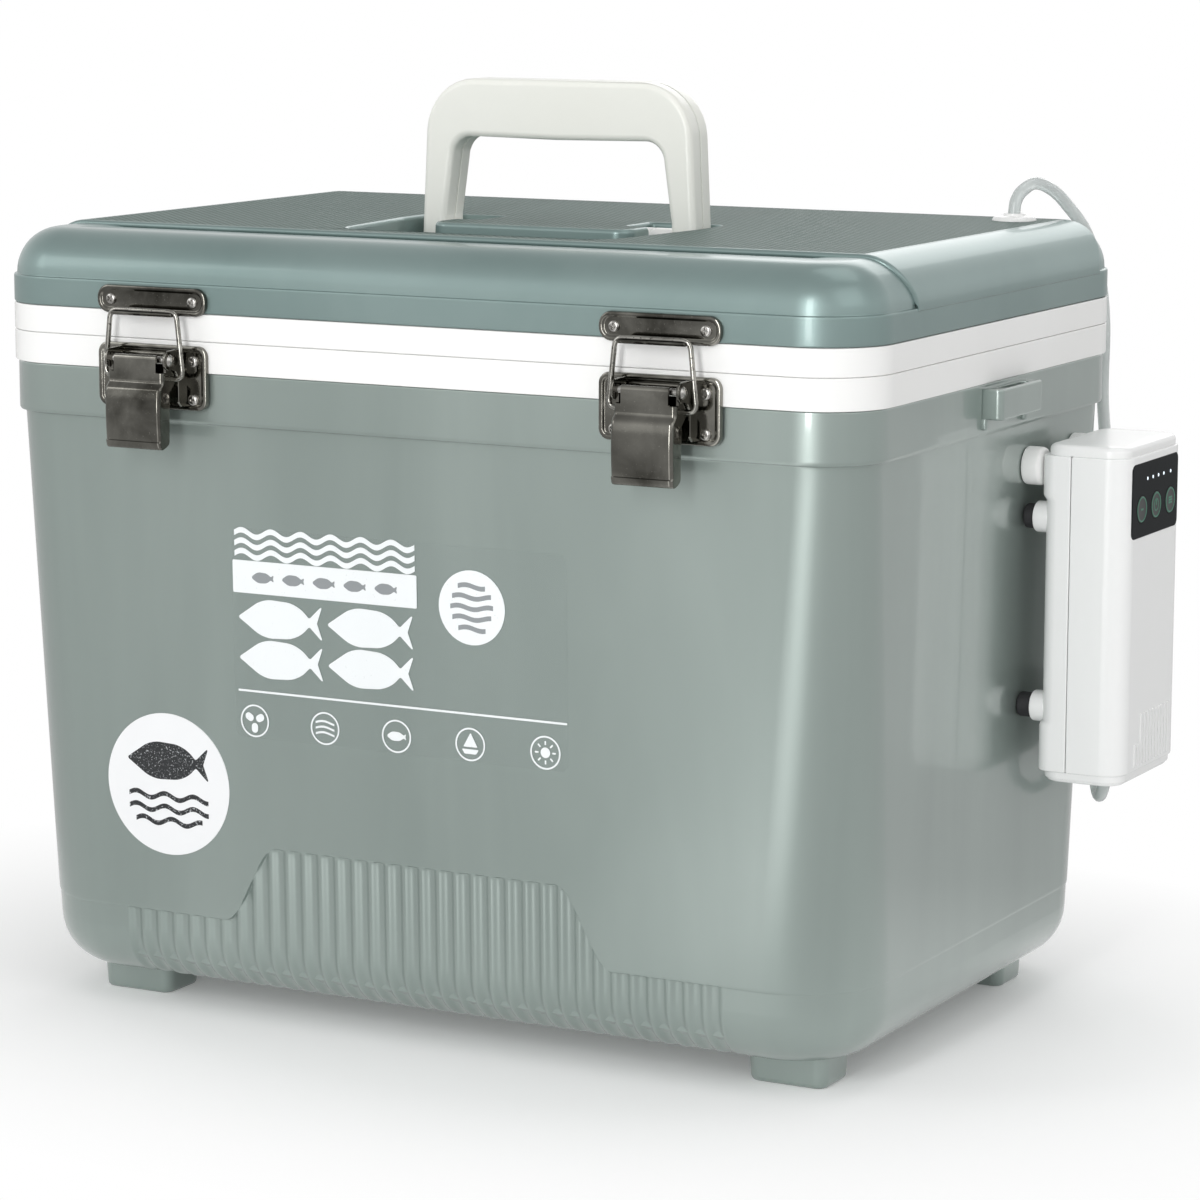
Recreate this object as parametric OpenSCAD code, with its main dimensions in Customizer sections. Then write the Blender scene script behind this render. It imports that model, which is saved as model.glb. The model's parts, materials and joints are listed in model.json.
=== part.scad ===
// Insulated tub with a hinged, latched lid, a folding carry handle and an
// air pump hung on its right-hand end. Millimetres, +Z up, front towards -Y.
// The frame stands on the floor under the middle of the whole object, so the
// tub's own middle lies a little to the left of it and behind it.

/* [Tub] */
// Length of the tub across its rim
tub_l = 450; // [420:1:500]
// Depth of the tub across its rim
tub_w = 308.6; // [290:0.2:340]
// Corner radius of the rim, seen from above
rim_corner_r = 33; // [29:1:42]
// Height of the seam between tub and lid
seam_z = 322; // [305:1:360]
// Gap left along the seam
seam_gap = 0.6; // [0.4:0.1:1]
// Height of the white band below the seam
tub_band_h = 14.6; // [11:0.1:18]
// Height of the stepped collar below the white band
collar_h = 22.8; // [21:0.1:28]
// How far the collar sits in from the rim
collar_in = 1.5; // [0.5:0.1:2.5]
// How far the wall sits in from the collar
wall_in = 3; // [1.5:0.1:4]
// How far each end leans in between collar and base
end_lean = 2.7; // [1:0.1:5]
// How far the front and back lean in between collar and base
face_lean = 4.9; // [2:0.1:7]
// Corner radius at the base, seen from above
base_corner_r = 45; // [36:1:52]
// Rounding of the bottom edge
base_edge_r = 25; // [18:1:28]
// Height of the underside above the floor
foot_h = 14; // [10:1:20]
// Length of a foot
foot_l = 38; // [28:1:46]
// Depth of a foot
foot_w = 28; // [20:1:34]
// Distance of each foot's middle from the end of the rim
foot_end = 51; // [49:1:75]
// Distance of each foot's middle from the front or back of the rim
foot_side = 53.3; // [50.3:1:74.3]
// Thickness of the outer shell
shell_t = 3; // [2.4:0.1:4]

/* [Front ribs] */
// Height at which the low ribs of both sides end
parting_z = 50; // [44:1:58]
// Number of grooves between the upright ribs
groove_count = 35; // [21:2:41]
// Distance from one groove to the next
groove_pitch = 9; // [7:0.1:9]
// Width of a groove
groove_w = 4; // [2:0.1:5]
// Depth of a groove
groove_depth = 1.2; // [0.6:0.1:1.6]
// Height of the raised middle of the ribs above the low ones
rib_rise = 37; // [10:1:60]
// Distance from the middle at which the raised ribs start to drop
rib_shoulder_x = 74; // [50:1:90]
// Length over which they drop to the low ones
rib_shoulder_l = 28; // [15:1:50]

/* [Liner] */
// Thickness of the end walls at the mouth, with their foam
end_wall = 38; // [37:0.5:50]
// Thickness of the front and back walls at the mouth, with their foam
side_wall = 37.8; // [36.8:0.5:46.8]
// Height of the inside floor above the ground
cavity_z = 52; // [46:1:70]
// How far the inside walls lean in from mouth to floor
cavity_lean = 5; // [2:0.5:8]
// Corner radius of the inside
cavity_r = 28; // [20:1:34]
// Thickness of the white liner and of the lid's inner pan
liner_t = 2.5; // [2:0.1:3]

/* [Strap bracket] */
// Length of the moulded bracket along the right-hand end
bracket_l = 49; // [40:1:60]
// Height of the bracket
bracket_h = 14; // [10:0.5:18]
// How far the bracket stands out from the collar
bracket_out = 10; // [9:0.5:12]
// Length of its slot
slot_l = 31; // [20:1:36]
// Width of its slot
slot_w = 4.6; // [4.2:0.1:5]
// Middle of the bracket, front to back
bracket_y = 3.5; // [-20:0.5:10]

/* [Lid] */
// Height of the white band above the seam
lid_band_h = 12.8; // [10:0.1:16]
// Height of the coloured lip above the white band
lid_lip_h = 13.3; // [10:0.1:16]
// How far the lid's body sits in from its lip
lid_body_in = 1.5; // [0.5:0.1:3]
// Height of the lid's top panel above its lip
lid_rise = 22.9; // [21:0.1:26]
// How far the front and back bolsters stay below the panel
bolster_drop = 1.5; // [0.5:0.1:3]
// Rounding of the bolsters and of the lid's ends
bolster_r = 21; // [17:0.5:21]
// Half depth of the top panel, out to its creases
crease_y = 106; // [98:1:112]
// Distance of the top panel's rear crease from the back of the rim
rear_crease_side = 27.3; // [27.3:1:33.3]
// Depth of the lid's inner pan below the seam
plug_depth = 10; // [6:1:14]
// Clearance between the lid's inner pan and the tub
plug_gap = 3; // [2:0.5:5]
// Width of the gasket
gasket_w = 5; // [3:0.5:6]
// Height of the gasket
gasket_h = 3; // [2.4:0.1:3.4]

/* [Handle] */
// Half length of the handle at its pivots, to the outside
handle_half_l = 74; // [68:1:78]
// How far each leg leans in from pivot to top corner
handle_lean = 4; // [1:0.5:6]
// Thickness of a leg along the tub's length
leg_t = 13.5; // [11:0.5:15]
// Depth of the handle, front to back
handle_w = 20; // [16:0.5:20]
// Height of the handle above its pivots
handle_h = 77.5; // [66:0.5:78]
// Height of the grip
grip_h = 27.5; // [20:0.5:28]
// Rounding of the handle's outer corners
handle_corner_r = 26; // [18:1:30]
// Depth of the pivots below the top panel
pivot_depth = 11; // [11:0.5:12]
// Radius of the white bushes beside the legs
bush_r = 9.5; // [7:0.5:9.5]
// Distance from the middle to the inner end of each bush
bush_in_x = 41; // [36:1:50]
// Radius of the handle's pins
handle_pin_r = 3; // [2:0.1:4]
// Running clearance of the pins in the handle, on the radius
pin_clear = 0.06; // [0.02:0.01:0.1]
// Clearance around the handle in its recess
recess_gap = 4; // [2:0.5:5]
// Length of the recess in front of the pivots
recess_front = 92; // [88:1:94]
// Half length of the block between the legs
island_half_l = 53; // [44:1:54]
// Distance of the block's front from the pivots
island_front = 38; // [20:1:40]

/* [Latches] */
// Distance of each latch from the end of the rim
latch_end = 94.2; // [75:0.2:125]
// Length of the latch plates
plate_l = 59.2; // [52:0.2:64]
// Height of the latch's base plate
base_plate_h = 29.6; // [28:0.2:32]
// Distance of the base plate's top below the seam
base_plate_drop = 2; // [1:0.1:3]
// Height of the strike plate
strike_h = 13; // [12:0.2:14]
// Distance of the strike plate's bottom above the seam
strike_rise = 11.4; // [10:0.1:13]
// Thickness of the plates, over their pressed rim
plate_t = 2.5; // [2:0.1:3]
// Width of the base plate's pressed rim
base_rim_w = 2.2; // [1.8:0.1:2.5]
// Width of the strike plate's pressed rim
strike_rim_w = 2; // [1.6:0.1:2.2]
// Thickness of the sheet of ears and lever
sheet_t = 1.2; // [1:0.1:1.5]
// Length of the lever
lever_l = 40.5; // [36:0.5:46]
// Width of the lever
lever_w = 30; // [26:0.5:31]
// Distance of the lever's pivot in front of the rim
pivot_out = 12.2; // [11.5:0.1:13]
// Distance of the lever's pivot below the seam
pivot_drop = 8; // [7.5:0.1:8.5]
// Radius of the pivot rivet
rivet_r = 1.8; // [1.4:0.1:2.2]
// Radius of the wire bail
wire_r = 1.2; // [1:0.1:1.4]
// Distance of the bail's ends below the lever's pivot
bail_drop = 8.6; // [8:0.1:9.2]
// Half width of the bail at its lower ends
bail_half_low = 21.3; // [21:0.1:23]
// Half width of the bail at its top
bail_half_top = 18; // [16:0.1:20]
// Height of the bail's top bar above its lower ends
bail_h = 30.6; // [29.6:0.1:31.6]
// Radius of the bail's rounded corners
bail_ball_r = 1.3; // [1.25:0.05:1.5]
// Radius of the small screw heads
screw_head_r = 2.7; // [2.2:0.1:3]
// Radius of the small screw shanks
screw_r = 1.5; // [1.2:0.1:1.8]

/* [Rear hinges] */
// Distance of each hinge from the end of the rim
hinge_end = 100; // [75:1:135]
// Length of a hinge
hinge_l = 60; // [48:1:70]
// Outer radius of a hinge knuckle
knuckle_r = 4.4; // [4:0.1:5]
// Radius of the hinge pin
hinge_pin_r = 2; // [1.6:0.1:2.4]
// Height of each hinge leaf
leaf_h = 22; // [18:0.5:24]
// Thickness of the hinge leaves
leaf_t = 1.6; // [1.4:0.1:1.8]
// Gap at the ends of the knuckles
knuckle_gap = 0.3; // [0.2:0.1:0.5]

/* [Pump] */
// Length of the pump's case, front to back
pump_l = 76; // [70:1:84]
// Thickness of the pump's case, outwards from the tub
pump_t = 41; // [38:0.5:46]
// Height of the pump's case without its caps
pump_h = 148; // [140:1:160]
// Height of the case's lower end above the floor
pump_z = 122; // [110:1:128]
// Middle of the pump, front to back
pump_y = 70; // [60:1:76]
// Distance of the pump's back from the rim
pump_gap = 7; // [6:0.5:10]
// Corner radius of the case, seen from above
pump_r = 11; // [8:0.5:14]
// Thickness of the pump's walls
pump_wall = 2.5; // [2:0.1:3]
// Depth of the rear half of the case
rear_case_t = 14; // [12:0.5:18]
// Height of each end cap outside the case
cap_h = 5; // [4:0.5:7]
// How far the end caps sit in from the case
cap_in = 1.2; // [0.6:0.1:2]
// Length of the control panel
panel_l = 59; // [54:0.5:60]
// Height of the control panel
panel_h = 34.5; // [30:0.5:38]
// Middle of the control panel below the top of the case
panel_drop = 20.7; // [20:0.1:24]
// Radius of the three buttons
button_r = 6.1; // [5:0.1:7]
// Distance from one button to the next
button_pitch = 18.4; // [16:0.1:19]
// How far a button can be pressed
button_travel = 0.6; // [0.4:0.1:0.8]
// Radius of the rubber bumpers behind the pump
bumper_r = 7.3; // [6:0.1:8]
// Radius of the knobs that hang the pump
knob_r = 8.9; // [8:0.1:9.5]
// Distance of bumpers and knobs from the pump's middle
bumper_y = 28; // [24:1:29]

/* [Air line] */
// Outer diameter of the air tube
tube_d = 6; // [5:0.5:6]
// Number of sides of the tubes' sections
tube_sides = 10; // [8:1:10]
// Steps between two points of a tube's route
tube_steps = 4; // [3:1:4]
// Distance of the grommet from the end of the rim
grommet_end = 40; // [39:1:45]
// Distance of the grommet from the back of the rim
grommet_side = 47.3; // [47.3:1:50.3]
// Radius of the grommet's flange
grommet_r = 10.5; // [8:0.5:11]
// Radius of the air stone
stone_r = 9; // [7:0.5:11]
// Length of the air stone
stone_l = 50; // [40:1:60]
// Place of the air stone's connected end along the tub
stone_x = 80; // [70:1:90]
// Place of the air stone, front to back
stone_y = 20; // [10:1:30]

/* [Labels] */
// Thickness of the stickers
label_t = 0.3; // [0.2:0.1:0.4]
// Radius of the round sticker
sticker_r = 33.9; // [25:0.1:36]
// Distance of the round sticker's middle from the end of the rim
sticker_end = 93; // [90:1:110]
// Height of the round sticker's middle
sticker_z = 112; // [100:1:130]
// Length of the clear label
label_l = 175; // [150:1:180]
// Height of the clear label
label_h = 98; // [80:1:110]
// Place of the clear label's middle along the front
label_x = -6; // [-16:1:10]
// Height of the clear label's middle
label_z = 188; // [175:1:205]

/* [Hidden] */
$fn = 48;

// Where the tub's middle lies in the object's frame
tub_x = -24;
tub_y = 5;

// Levels of the tub, from the seam down
tub_top_z = seam_z - seam_gap / 2;
band_z = seam_z - tub_band_h;
collar_z = band_z - collar_h;
// Levels of the lid, from the seam up
lid_z = seam_z + seam_gap / 2;
lip_z = seam_z + lid_band_h;
lid_body_z = lip_z + lid_lip_h;
panel_z = lid_body_z + lid_rise;

half_l = tub_l / 2;
half_w = tub_w / 2;
cavity_l = tub_l - 2 * end_wall;
cavity_w = tub_w - 2 * side_wall;
foot_x = half_l - foot_end;
foot_y = half_w - foot_side;
latch_x = half_l - latch_end;
hinge_x = half_l - hinge_end;
grommet_x = half_l - grommet_end;
grommet_y = half_w - grommet_side;
wall_total_in = collar_in + wall_in;
base_half_l = half_l - wall_total_in - end_lean;
base_half_w = half_w - wall_total_in - face_lean;
wall_low_z = foot_h + base_edge_r;
pivot_z = panel_z - pivot_depth;
mouth_r = cavity_r + liner_t;
// Height of the thin slabs that bound a rounded body, and the gap round a filling
skin = 1;
fill_gap = 0.05;
wall_high_z = collar_z - skin;

// Outside of the right-hand wall, and of the front wall, at a height
function wall_x(z) = half_l - wall_total_in - end_lean * (wall_high_z - z) / (wall_high_z - wall_low_z);
function wall_y(z) = half_w - wall_total_in - face_lean * (wall_high_z - z) / (wall_high_z - wall_low_z);
wall_tilt = atan(face_lean / (wall_high_z - wall_low_z));

// Puts a piece drawn round the tub's own middle into the object's frame
module at_tub() {
    translate([tub_x, tub_y, 0]) children();
}

// A rectangle with true round corners
module round_rect(l, w, r) {
    square([l - 2 * r, w], center = true);
    square([l, w - 2 * r], center = true);
    for (x = [-1, 1], y = [-1, 1])
        translate([x * (l / 2 - r), y * (w / 2 - r)]) circle(r);
}

// An upright slab with round corners
module slab(l, w, r, z0, z1) {
    translate([0, 0, z0]) linear_extrude(z1 - z0) round_rect(l, w, r);
}

// One corner of a soft-edged box, its upper half (up = 1) or lower half (up = -1)
module soft_corner(plan_r, edge_r, up) {
    rotate_extrude($fn = 32) intersection() {
        translate([plan_r - edge_r, 0]) circle(edge_r, $fn = 32);
        translate([0, up > 0 ? 0 : -edge_r]) square([plan_r, edge_r]);
    }
}

// The tub's tapered body below its collar, shrunk on all sides by grow_in
module tub_form(grow_in) {
    top_r = rim_corner_r - wall_total_in;
    hull() {
        slab(2 * (half_l - wall_total_in - grow_in), 2 * (half_w - wall_total_in - grow_in),
            top_r - grow_in, wall_high_z, collar_z, $fn = 32);
        for (x = [-1, 1], y = [-1, 1])
            translate([x * (base_half_l - base_corner_r), y * (base_half_w - base_corner_r), wall_low_z])
                soft_corner(base_corner_r - grow_in, base_edge_r - grow_in, -1);
    }
}

// The inside of the tub, grown on all sides by grow
module cavity_form(grow, top) {
    floor_edge_r = cavity_r / 2;
    hull() {
        slab(cavity_l + 2 * grow, cavity_w + 2 * grow, cavity_r + grow, top - skin, top, $fn = 32);
        for (x = [-1, 1], y = [-1, 1])
            translate([x * (cavity_l / 2 - cavity_lean - cavity_r),
                y * (cavity_w / 2 - cavity_lean - cavity_r), cavity_z + floor_edge_r])
                soft_corner(cavity_r + grow, floor_edge_r + grow, -1);
    }
}

// The lid's body as a soft-edged block between two heights
module lid_form(grow_in, low, top, edge_r) {
    plan_r = rim_corner_r - lid_body_in;
    hull() {
        slab(2 * (half_l - lid_body_in - grow_in), 2 * (half_w - lid_body_in - grow_in),
            plan_r - grow_in, low, low + skin, $fn = 32);
        for (x = [-1, 1], y = [-1, 1])
            translate([x * (half_l - lid_body_in - plan_r), y * (half_w - lid_body_in - plan_r),
                top + grow_in - edge_r])
                soft_corner(plan_r - grow_in, edge_r - grow_in, 1);
    }
}

// Height at which a groove at x ends
function groove_top(x) =
    let (t = min(max((abs(x) - rib_shoulder_x) / rib_shoulder_l, 0), 1))
    parting_z + rib_rise * (1 - t * t * (3 - 2 * t));

// Section through the front wall and the bottom edge, shrunk by depth, seen from the left
module front_section(depth) {
    polygon([
        [-wall_y(collar_z) + depth, collar_z], [0, collar_z], [0, foot_h + depth],
        [-(base_half_w - base_edge_r), foot_h + depth], [-base_half_w + depth, wall_low_z]
    ]);
    translate([-(base_half_w - base_edge_r), wall_low_z]) circle(base_edge_r - depth);
}

module front_grooves() {
    for (i = [0 : groove_count - 1]) {
        x = (i - (groove_count - 1) / 2) * groove_pitch;
        translate([x - groove_w / 2, 0, 0]) rotate([90, 0, 90]) linear_extrude(groove_w) difference() {
            translate([-half_w - 20, 0]) square([half_w + 20 - foot_y, groove_top(x)]);
            front_section(groove_depth);
        }
    }
}

module feet() {
    for (x = [-foot_x, foot_x], y = [-foot_y, foot_y])
        translate([x, y, 0]) slab(foot_l, foot_w, 5, 0, foot_h + base_edge_r / 2);
}

module strap_bracket() {
    x0 = half_l - collar_in - shell_t / 2;
    translate([0, bracket_y, band_z - 2 - bracket_h]) difference() {
        translate([x0, -bracket_l / 2, 0]) cube([bracket_out + shell_t / 2, bracket_l, bracket_h]);
        translate([half_l - collar_in + (bracket_out - slot_w) / 2, -slot_l / 2, -1])
            cube([slot_w, slot_l, bracket_h + 2]);
    }
}

// Places of the screws in a latch's base plate and strike, from the latch's middle at the seam
base_screw_x = plate_l / 2 - 7.4;
base_screw_z = [-base_plate_drop - 7, -base_plate_drop - base_plate_h + 5];
strike_screw_z = strike_rise + strike_h / 2;
leaf_screw_x = hinge_l / 2 - 10;
tub_leaf_screw_z = -leaf_h + 3;
lid_leaf_screw_z = leaf_h - 3;

// Everything drilled into the tub's front for the latch plates
module base_screw_bores(r) {
    for (s = [-1, 1], x = [-1, 1], z = base_screw_z)
        translate([s * latch_x + x * base_screw_x, -half_w - plate_t - 1, seam_z + z])
            rotate([-90, 0, 0]) cylinder(h = plate_t + 1 + collar_in + shell_t, r = r);
}

module strike_screw_bores(r) {
    for (s = [-1, 1], x = [-1, 1])
        translate([s * latch_x + x * base_screw_x, -half_w - plate_t - 1, seam_z + strike_screw_z])
            rotate([-90, 0, 0]) cylinder(h = plate_t + 1 + lid_body_in + shell_t, r = r);
}

module leaf_screw_bores(r, z) {
    for (s = [-1, 1], x = [-1, 1])
        translate([s * hinge_x + x * leaf_screw_x, half_w + leaf_t + 1, seam_z + z])
            rotate([90, 0, 0]) cylinder(h = leaf_t + 1 + collar_in + shell_t, r = r);
}

// Places behind the pump, worked out from its case
pump_back_x = half_l + pump_gap;
pump_front_x = pump_back_x + pump_t;
pump_split_x = pump_back_x + rear_case_t;
pump_top = pump_z + pump_h;
boss_l = 6;
bumper_z = [pump_z + 29, pump_z + 118];
knob_z = pump_top - 6.5;
knob_screw_r = 2;

module knob_screw_bores(r) {
    for (y = [-bumper_y, bumper_y])
        translate([wall_x(knob_z) - shell_t - 1, pump_y + y, knob_z])
            rotate([0, 90, 0]) cylinder(h = shell_t + 2, r = r);
}

module tub_shell() color("#8A9B98") at_tub() difference() {
    union() {
        tub_form(0);
        slab(tub_l - 2 * collar_in, tub_w - 2 * collar_in, rim_corner_r - collar_in, collar_z, band_z);
        feet();
        strap_bracket();
    }
    tub_form(shell_t);
    slab(tub_l - 2 * (wall_total_in + shell_t), tub_w - 2 * (wall_total_in + shell_t),
        rim_corner_r - wall_total_in - shell_t, wall_high_z, band_z + 1);
    front_grooves();
    base_screw_bores(screw_r);
    leaf_screw_bores(screw_r, tub_leaf_screw_z);
    knob_screw_bores(knob_screw_r);
}

module tub_liner() color("#F4F4F1") at_tub() difference() {
    union() {
        cavity_form(liner_t, tub_top_z);
        slab(tub_l, tub_w, rim_corner_r, band_z, tub_top_z);
    }
    difference() {
        slab(tub_l - 2 * shell_t, tub_w - 2 * shell_t, rim_corner_r - shell_t,
            band_z - 1, tub_top_z - shell_t);
        slab(cavity_l + 2 * liner_t, cavity_w + 2 * liner_t, mouth_r, band_z - 2, tub_top_z);
    }
    cavity_form(0, tub_top_z + skin);
    base_screw_bores(screw_r);
}

module tub_foam() color("#E8D9A0") at_tub() difference() {
    union() {
        tub_form(shell_t + fill_gap);
        slab(tub_l - 2 * (wall_total_in + shell_t + fill_gap),
            tub_w - 2 * (wall_total_in + shell_t + fill_gap),
            rim_corner_r - wall_total_in - shell_t, wall_high_z, tub_top_z - shell_t);
    }
    cavity_form(liner_t + fill_gap, tub_top_z);
    slab(cavity_l + 2 * (liner_t + fill_gap), cavity_w + 2 * (liner_t + fill_gap),
        mouth_r + fill_gap, band_z - 2, tub_top_z);
    knob_screw_bores(knob_screw_r + 2);
}

sticker_gap = 0.02;

// Puts what is drawn flat on the sloping front wall, facing front
module on_front_wall(x, z) {
    translate([x, -wall_y(z) - sticker_gap, z]) rotate([90 + wall_tilt, 0, 0]) children();
}

module round_sticker() color("#FFFFFF") at_tub()
    on_front_wall(sticker_end - half_l, sticker_z) cylinder(h = label_t, r = sticker_r);

module clear_label() color("#9AA9A7") at_tub()
    on_front_wall(label_x, label_z) linear_extrude(label_t) round_rect(label_l, label_h, 4);

// ---- Lid ----

recess_back = handle_w / 2 + 2;
recess_half_l = handle_half_l + recess_gap;
recess_half_front = recess_half_l - 9;
recess_floor_z = pivot_z - handle_w / 2 - 1;

// Outline of the handle's recess, grown by grow
module recess_outline(grow) {
    hull() {
        for (s = [-1, 1], y = [recess_back - 6, -handle_w])
            translate([s * (recess_half_l - 6), y]) circle(6 + grow, $fn = 32);
        for (s = [-1, 1])
            translate([s * (recess_half_front - 14), -recess_front + 14]) circle(14 + grow, $fn = 32);
    }
}

// Outline of the block that stays between the handle's legs, grown by grow
module island_outline(grow) {
    difference() {
        union() {
            translate([0, (recess_back + 20 - handle_w / 2 - 2) / 2])
                square([2 * (bush_in_x - 1 + grow), recess_back + 20 + handle_w / 2 + 2], center = true);
            hull() for (s = [-1, 1], y = [-island_front + 9, -handle_w / 2 - 2 - 4])
                translate([s * (island_half_l - (y < -20 ? 9 : 4)), y])
                    circle((y < -20 ? 9 : 4) + grow, $fn = 32);
        }
        translate([0, recess_back + 50]) square([400, 100 - 2 * grow], center = true);
    }
}

conduit_low = [grommet_x - 23, grommet_y - 11, seam_z - plug_depth];

// The passage of the air tube through the lid, from the grommet down to the pan
module conduit(r) {
    top = [grommet_x, grommet_y, panel_z - 18];
    run = top - conduit_low;
    tilt = atan2(norm([run[0], run[1]]), run[2]);
    turn = atan2(run[1], run[0]);
    translate(conduit_low) rotate([0, tilt, turn]) translate([0, 0, -8]) cylinder(h = norm(run) + 8, r = r);
}

grommet_barrel_r = tube_d / 2 + 2;

module lid_shell() color("#8A9B98") at_tub() difference() {
    union() {
        difference() {
            union() {
                slab(tub_l, tub_w, rim_corner_r, lip_z, lid_body_z);
                lid_form(0, lip_z, panel_z, bolster_r + bolster_drop);
            }
            lid_form(shell_t, lip_z - skin, panel_z - bolster_drop - shell_t, bolster_r);
            for (side = [[-1, crease_y], [1, half_w - rear_crease_side]])
                translate([-half_l, side[0] * (side[1] + half_w / 2) - half_w / 2, panel_z - bolster_drop])
                    cube([tub_l, half_w, bolster_drop + 1]);
        }
        translate([0, 0, recess_floor_z - shell_t]) linear_extrude(panel_z - recess_floor_z) difference() {
            recess_outline(shell_t);
            island_outline(-shell_t);
        }
        pin_bosses();
    }
    translate([0, 0, recess_floor_z]) linear_extrude(panel_z) difference() {
        recess_outline(0);
        island_outline(0);
    }
    pin_bores(handle_pin_r);
    strike_screw_bores(screw_r);
    leaf_screw_bores(screw_r, lid_leaf_screw_z);
    translate([grommet_x, grommet_y, panel_z - 12]) cylinder(h = 20, r = grommet_barrel_r);
}

pin_in_x = bush_in_x - 13;
pin_out_x = handle_half_l - 3;

module pin_bosses() {
    for (s = [-1, 1])
        translate([s * (pin_in_x + bush_in_x - 2) / 2, 0, pivot_z]) rotate([0, 90, 0])
            cylinder(h = bush_in_x - 2 - pin_in_x, r = 2 * handle_pin_r, center = true);
}

module pin_bores(r) {
    for (s = [-1, 1])
        translate([s * (pin_in_x + pin_out_x) / 2, 0, pivot_z]) rotate([0, 90, 0])
            cylinder(h = pin_out_x - pin_in_x, r = r, center = true);
}

module lid_pan() color("#F4F4F1") at_tub() difference() {
    union() {
        slab(tub_l, tub_w, rim_corner_r, lid_z, lip_z);
        slab(cavity_l - 2 * plug_gap, cavity_w - 2 * plug_gap, cavity_r - plug_gap,
            seam_z - plug_depth, lid_z + 1);
    }
    slab(tub_l - 2 * shell_t, tub_w - 2 * shell_t, rim_corner_r - shell_t,
        lid_z + gasket_h + liner_t, lip_z + 1);
    slab(cavity_l - 2 * (plug_gap + liner_t), cavity_w - 2 * (plug_gap + liner_t),
        cavity_r - plug_gap - liner_t, seam_z - plug_depth + liner_t, lip_z);
    gasket_ring(gasket_w, lid_z - 1, lid_z + gasket_h - 0.3);
    conduit(grommet_barrel_r);
}

// The ring on which the gasket lies, outside the tub's mouth
module gasket_ring(w, z0, z1) {
    difference() {
        slab(cavity_l + 8 + 2 * w, cavity_w + 8 + 2 * w, cavity_r + 4 + w, z0, z1);
        slab(cavity_l + 8, cavity_w + 8, cavity_r + 4, z0 - 1, z1 + 1);
    }
}

module lid_gasket() color("#6E7472") at_tub()
    gasket_ring(gasket_w, lid_z - 0.3, lid_z + gasket_h - 0.3);

module lid_foam() color("#E8D9A0") at_tub() difference() {
    union() {
        lid_form(shell_t + fill_gap, lid_z + gasket_h + liner_t,
            panel_z - bolster_drop - shell_t - fill_gap, bolster_r);
        slab(cavity_l - 2 * (plug_gap + liner_t), cavity_w - 2 * (plug_gap + liner_t),
            cavity_r - plug_gap - liner_t, seam_z - plug_depth + liner_t, lip_z);
    }
    translate([0, 0, recess_floor_z - shell_t - fill_gap]) linear_extrude(50) difference() {
        recess_outline(shell_t + fill_gap);
        island_outline(-shell_t - fill_gap);
    }
    for (s = [-1, 1])
        translate([s * (pin_in_x + bush_in_x) / 2, 0, pivot_z]) rotate([0, 90, 0])
            cylinder(h = bush_in_x - pin_in_x + 4, r = 2 * handle_pin_r + fill_gap, center = true);
    conduit(grommet_barrel_r);
    translate([grommet_x, grommet_y, panel_z - 24]) cylinder(h = 30, r = grommet_r + 1);
}

grommet_flange_t = 2.4;
grommet_low = 14;
tube_bore = tube_d / 2 - 1;
tube_socket = tube_d / 2 + 0.05;

module tube_grommet() color("#F6F6F4") at_tub() translate([grommet_x, grommet_y, panel_z]) difference() {
    nut_top = -bolster_drop - shell_t - 0.05;
    union() {
        cylinder(h = grommet_flange_t, r1 = grommet_r, r2 = grommet_r - 1);
        translate([0, 0, -grommet_low]) cylinder(h = grommet_low + 1, r = grommet_barrel_r);
        translate([0, 0, 1 - grommet_low]) cylinder(h = grommet_low - 1 + nut_top, r = grommet_r - 1);
    }
    translate([0, 0, -grommet_low - 1]) cylinder(h = grommet_low + 10, r = tube_bore);
    translate([0, 0, grommet_flange_t - 2]) cylinder(h = 10, r = tube_socket);
    translate([0, 0, -grommet_low - 1]) cylinder(h = 3, r = tube_socket);
}

// ---- Handle ----

// Half width of the handle at a height above its pivots
function handle_half(h) = handle_half_l - handle_lean * h / (handle_h - handle_corner_r);

module handle_outline() {
    shoulder_h = handle_h - handle_corner_r;
    top_half = handle_half(shoulder_h);
    polygon([
        [-handle_half_l, 0], [handle_half_l, 0], [top_half, shoulder_h],
        [top_half - handle_corner_r, handle_h], [-top_half + handle_corner_r, handle_h],
        [-top_half, shoulder_h]
    ]);
    for (s = [-1, 1])
        translate([s * (top_half - handle_corner_r), shoulder_h]) circle(handle_corner_r);
}

module handle_window() {
    window_h = handle_h - grip_h;
    low_half = handle_half_l - leg_t;
    top_half = handle_half(window_h) - leg_t - 2;
    corner = 9;
    polygon([
        [-low_half, -handle_w], [low_half, -handle_w], [low_half, bush_r + 1], [top_half, window_h - corner],
        [top_half - corner, window_h], [-top_half + corner, window_h], [-top_half, window_h - corner],
        [-low_half, bush_r + 1]
    ]);
    for (s = [-1, 1])
        translate([s * (top_half - corner), window_h - corner]) circle(corner);
}

module handle() color("#EBECE2") at_tub() translate([0, 0, pivot_z]) difference() {
    union() {
        rotate([90, 0, 0]) linear_extrude(handle_w, center = true) handle_outline();
        for (s = [-1, 1])
            translate([s * (handle_half_l - leg_t / 2), 0, 0]) rotate([0, 90, 0])
                cylinder(h = leg_t, r = handle_w / 2, center = true);
    }
    rotate([90, 0, 0]) linear_extrude(handle_w + 2, center = true) handle_window();
    translate([0, 0, -pivot_z]) pin_bores(handle_pin_r + pin_clear);
}

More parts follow.
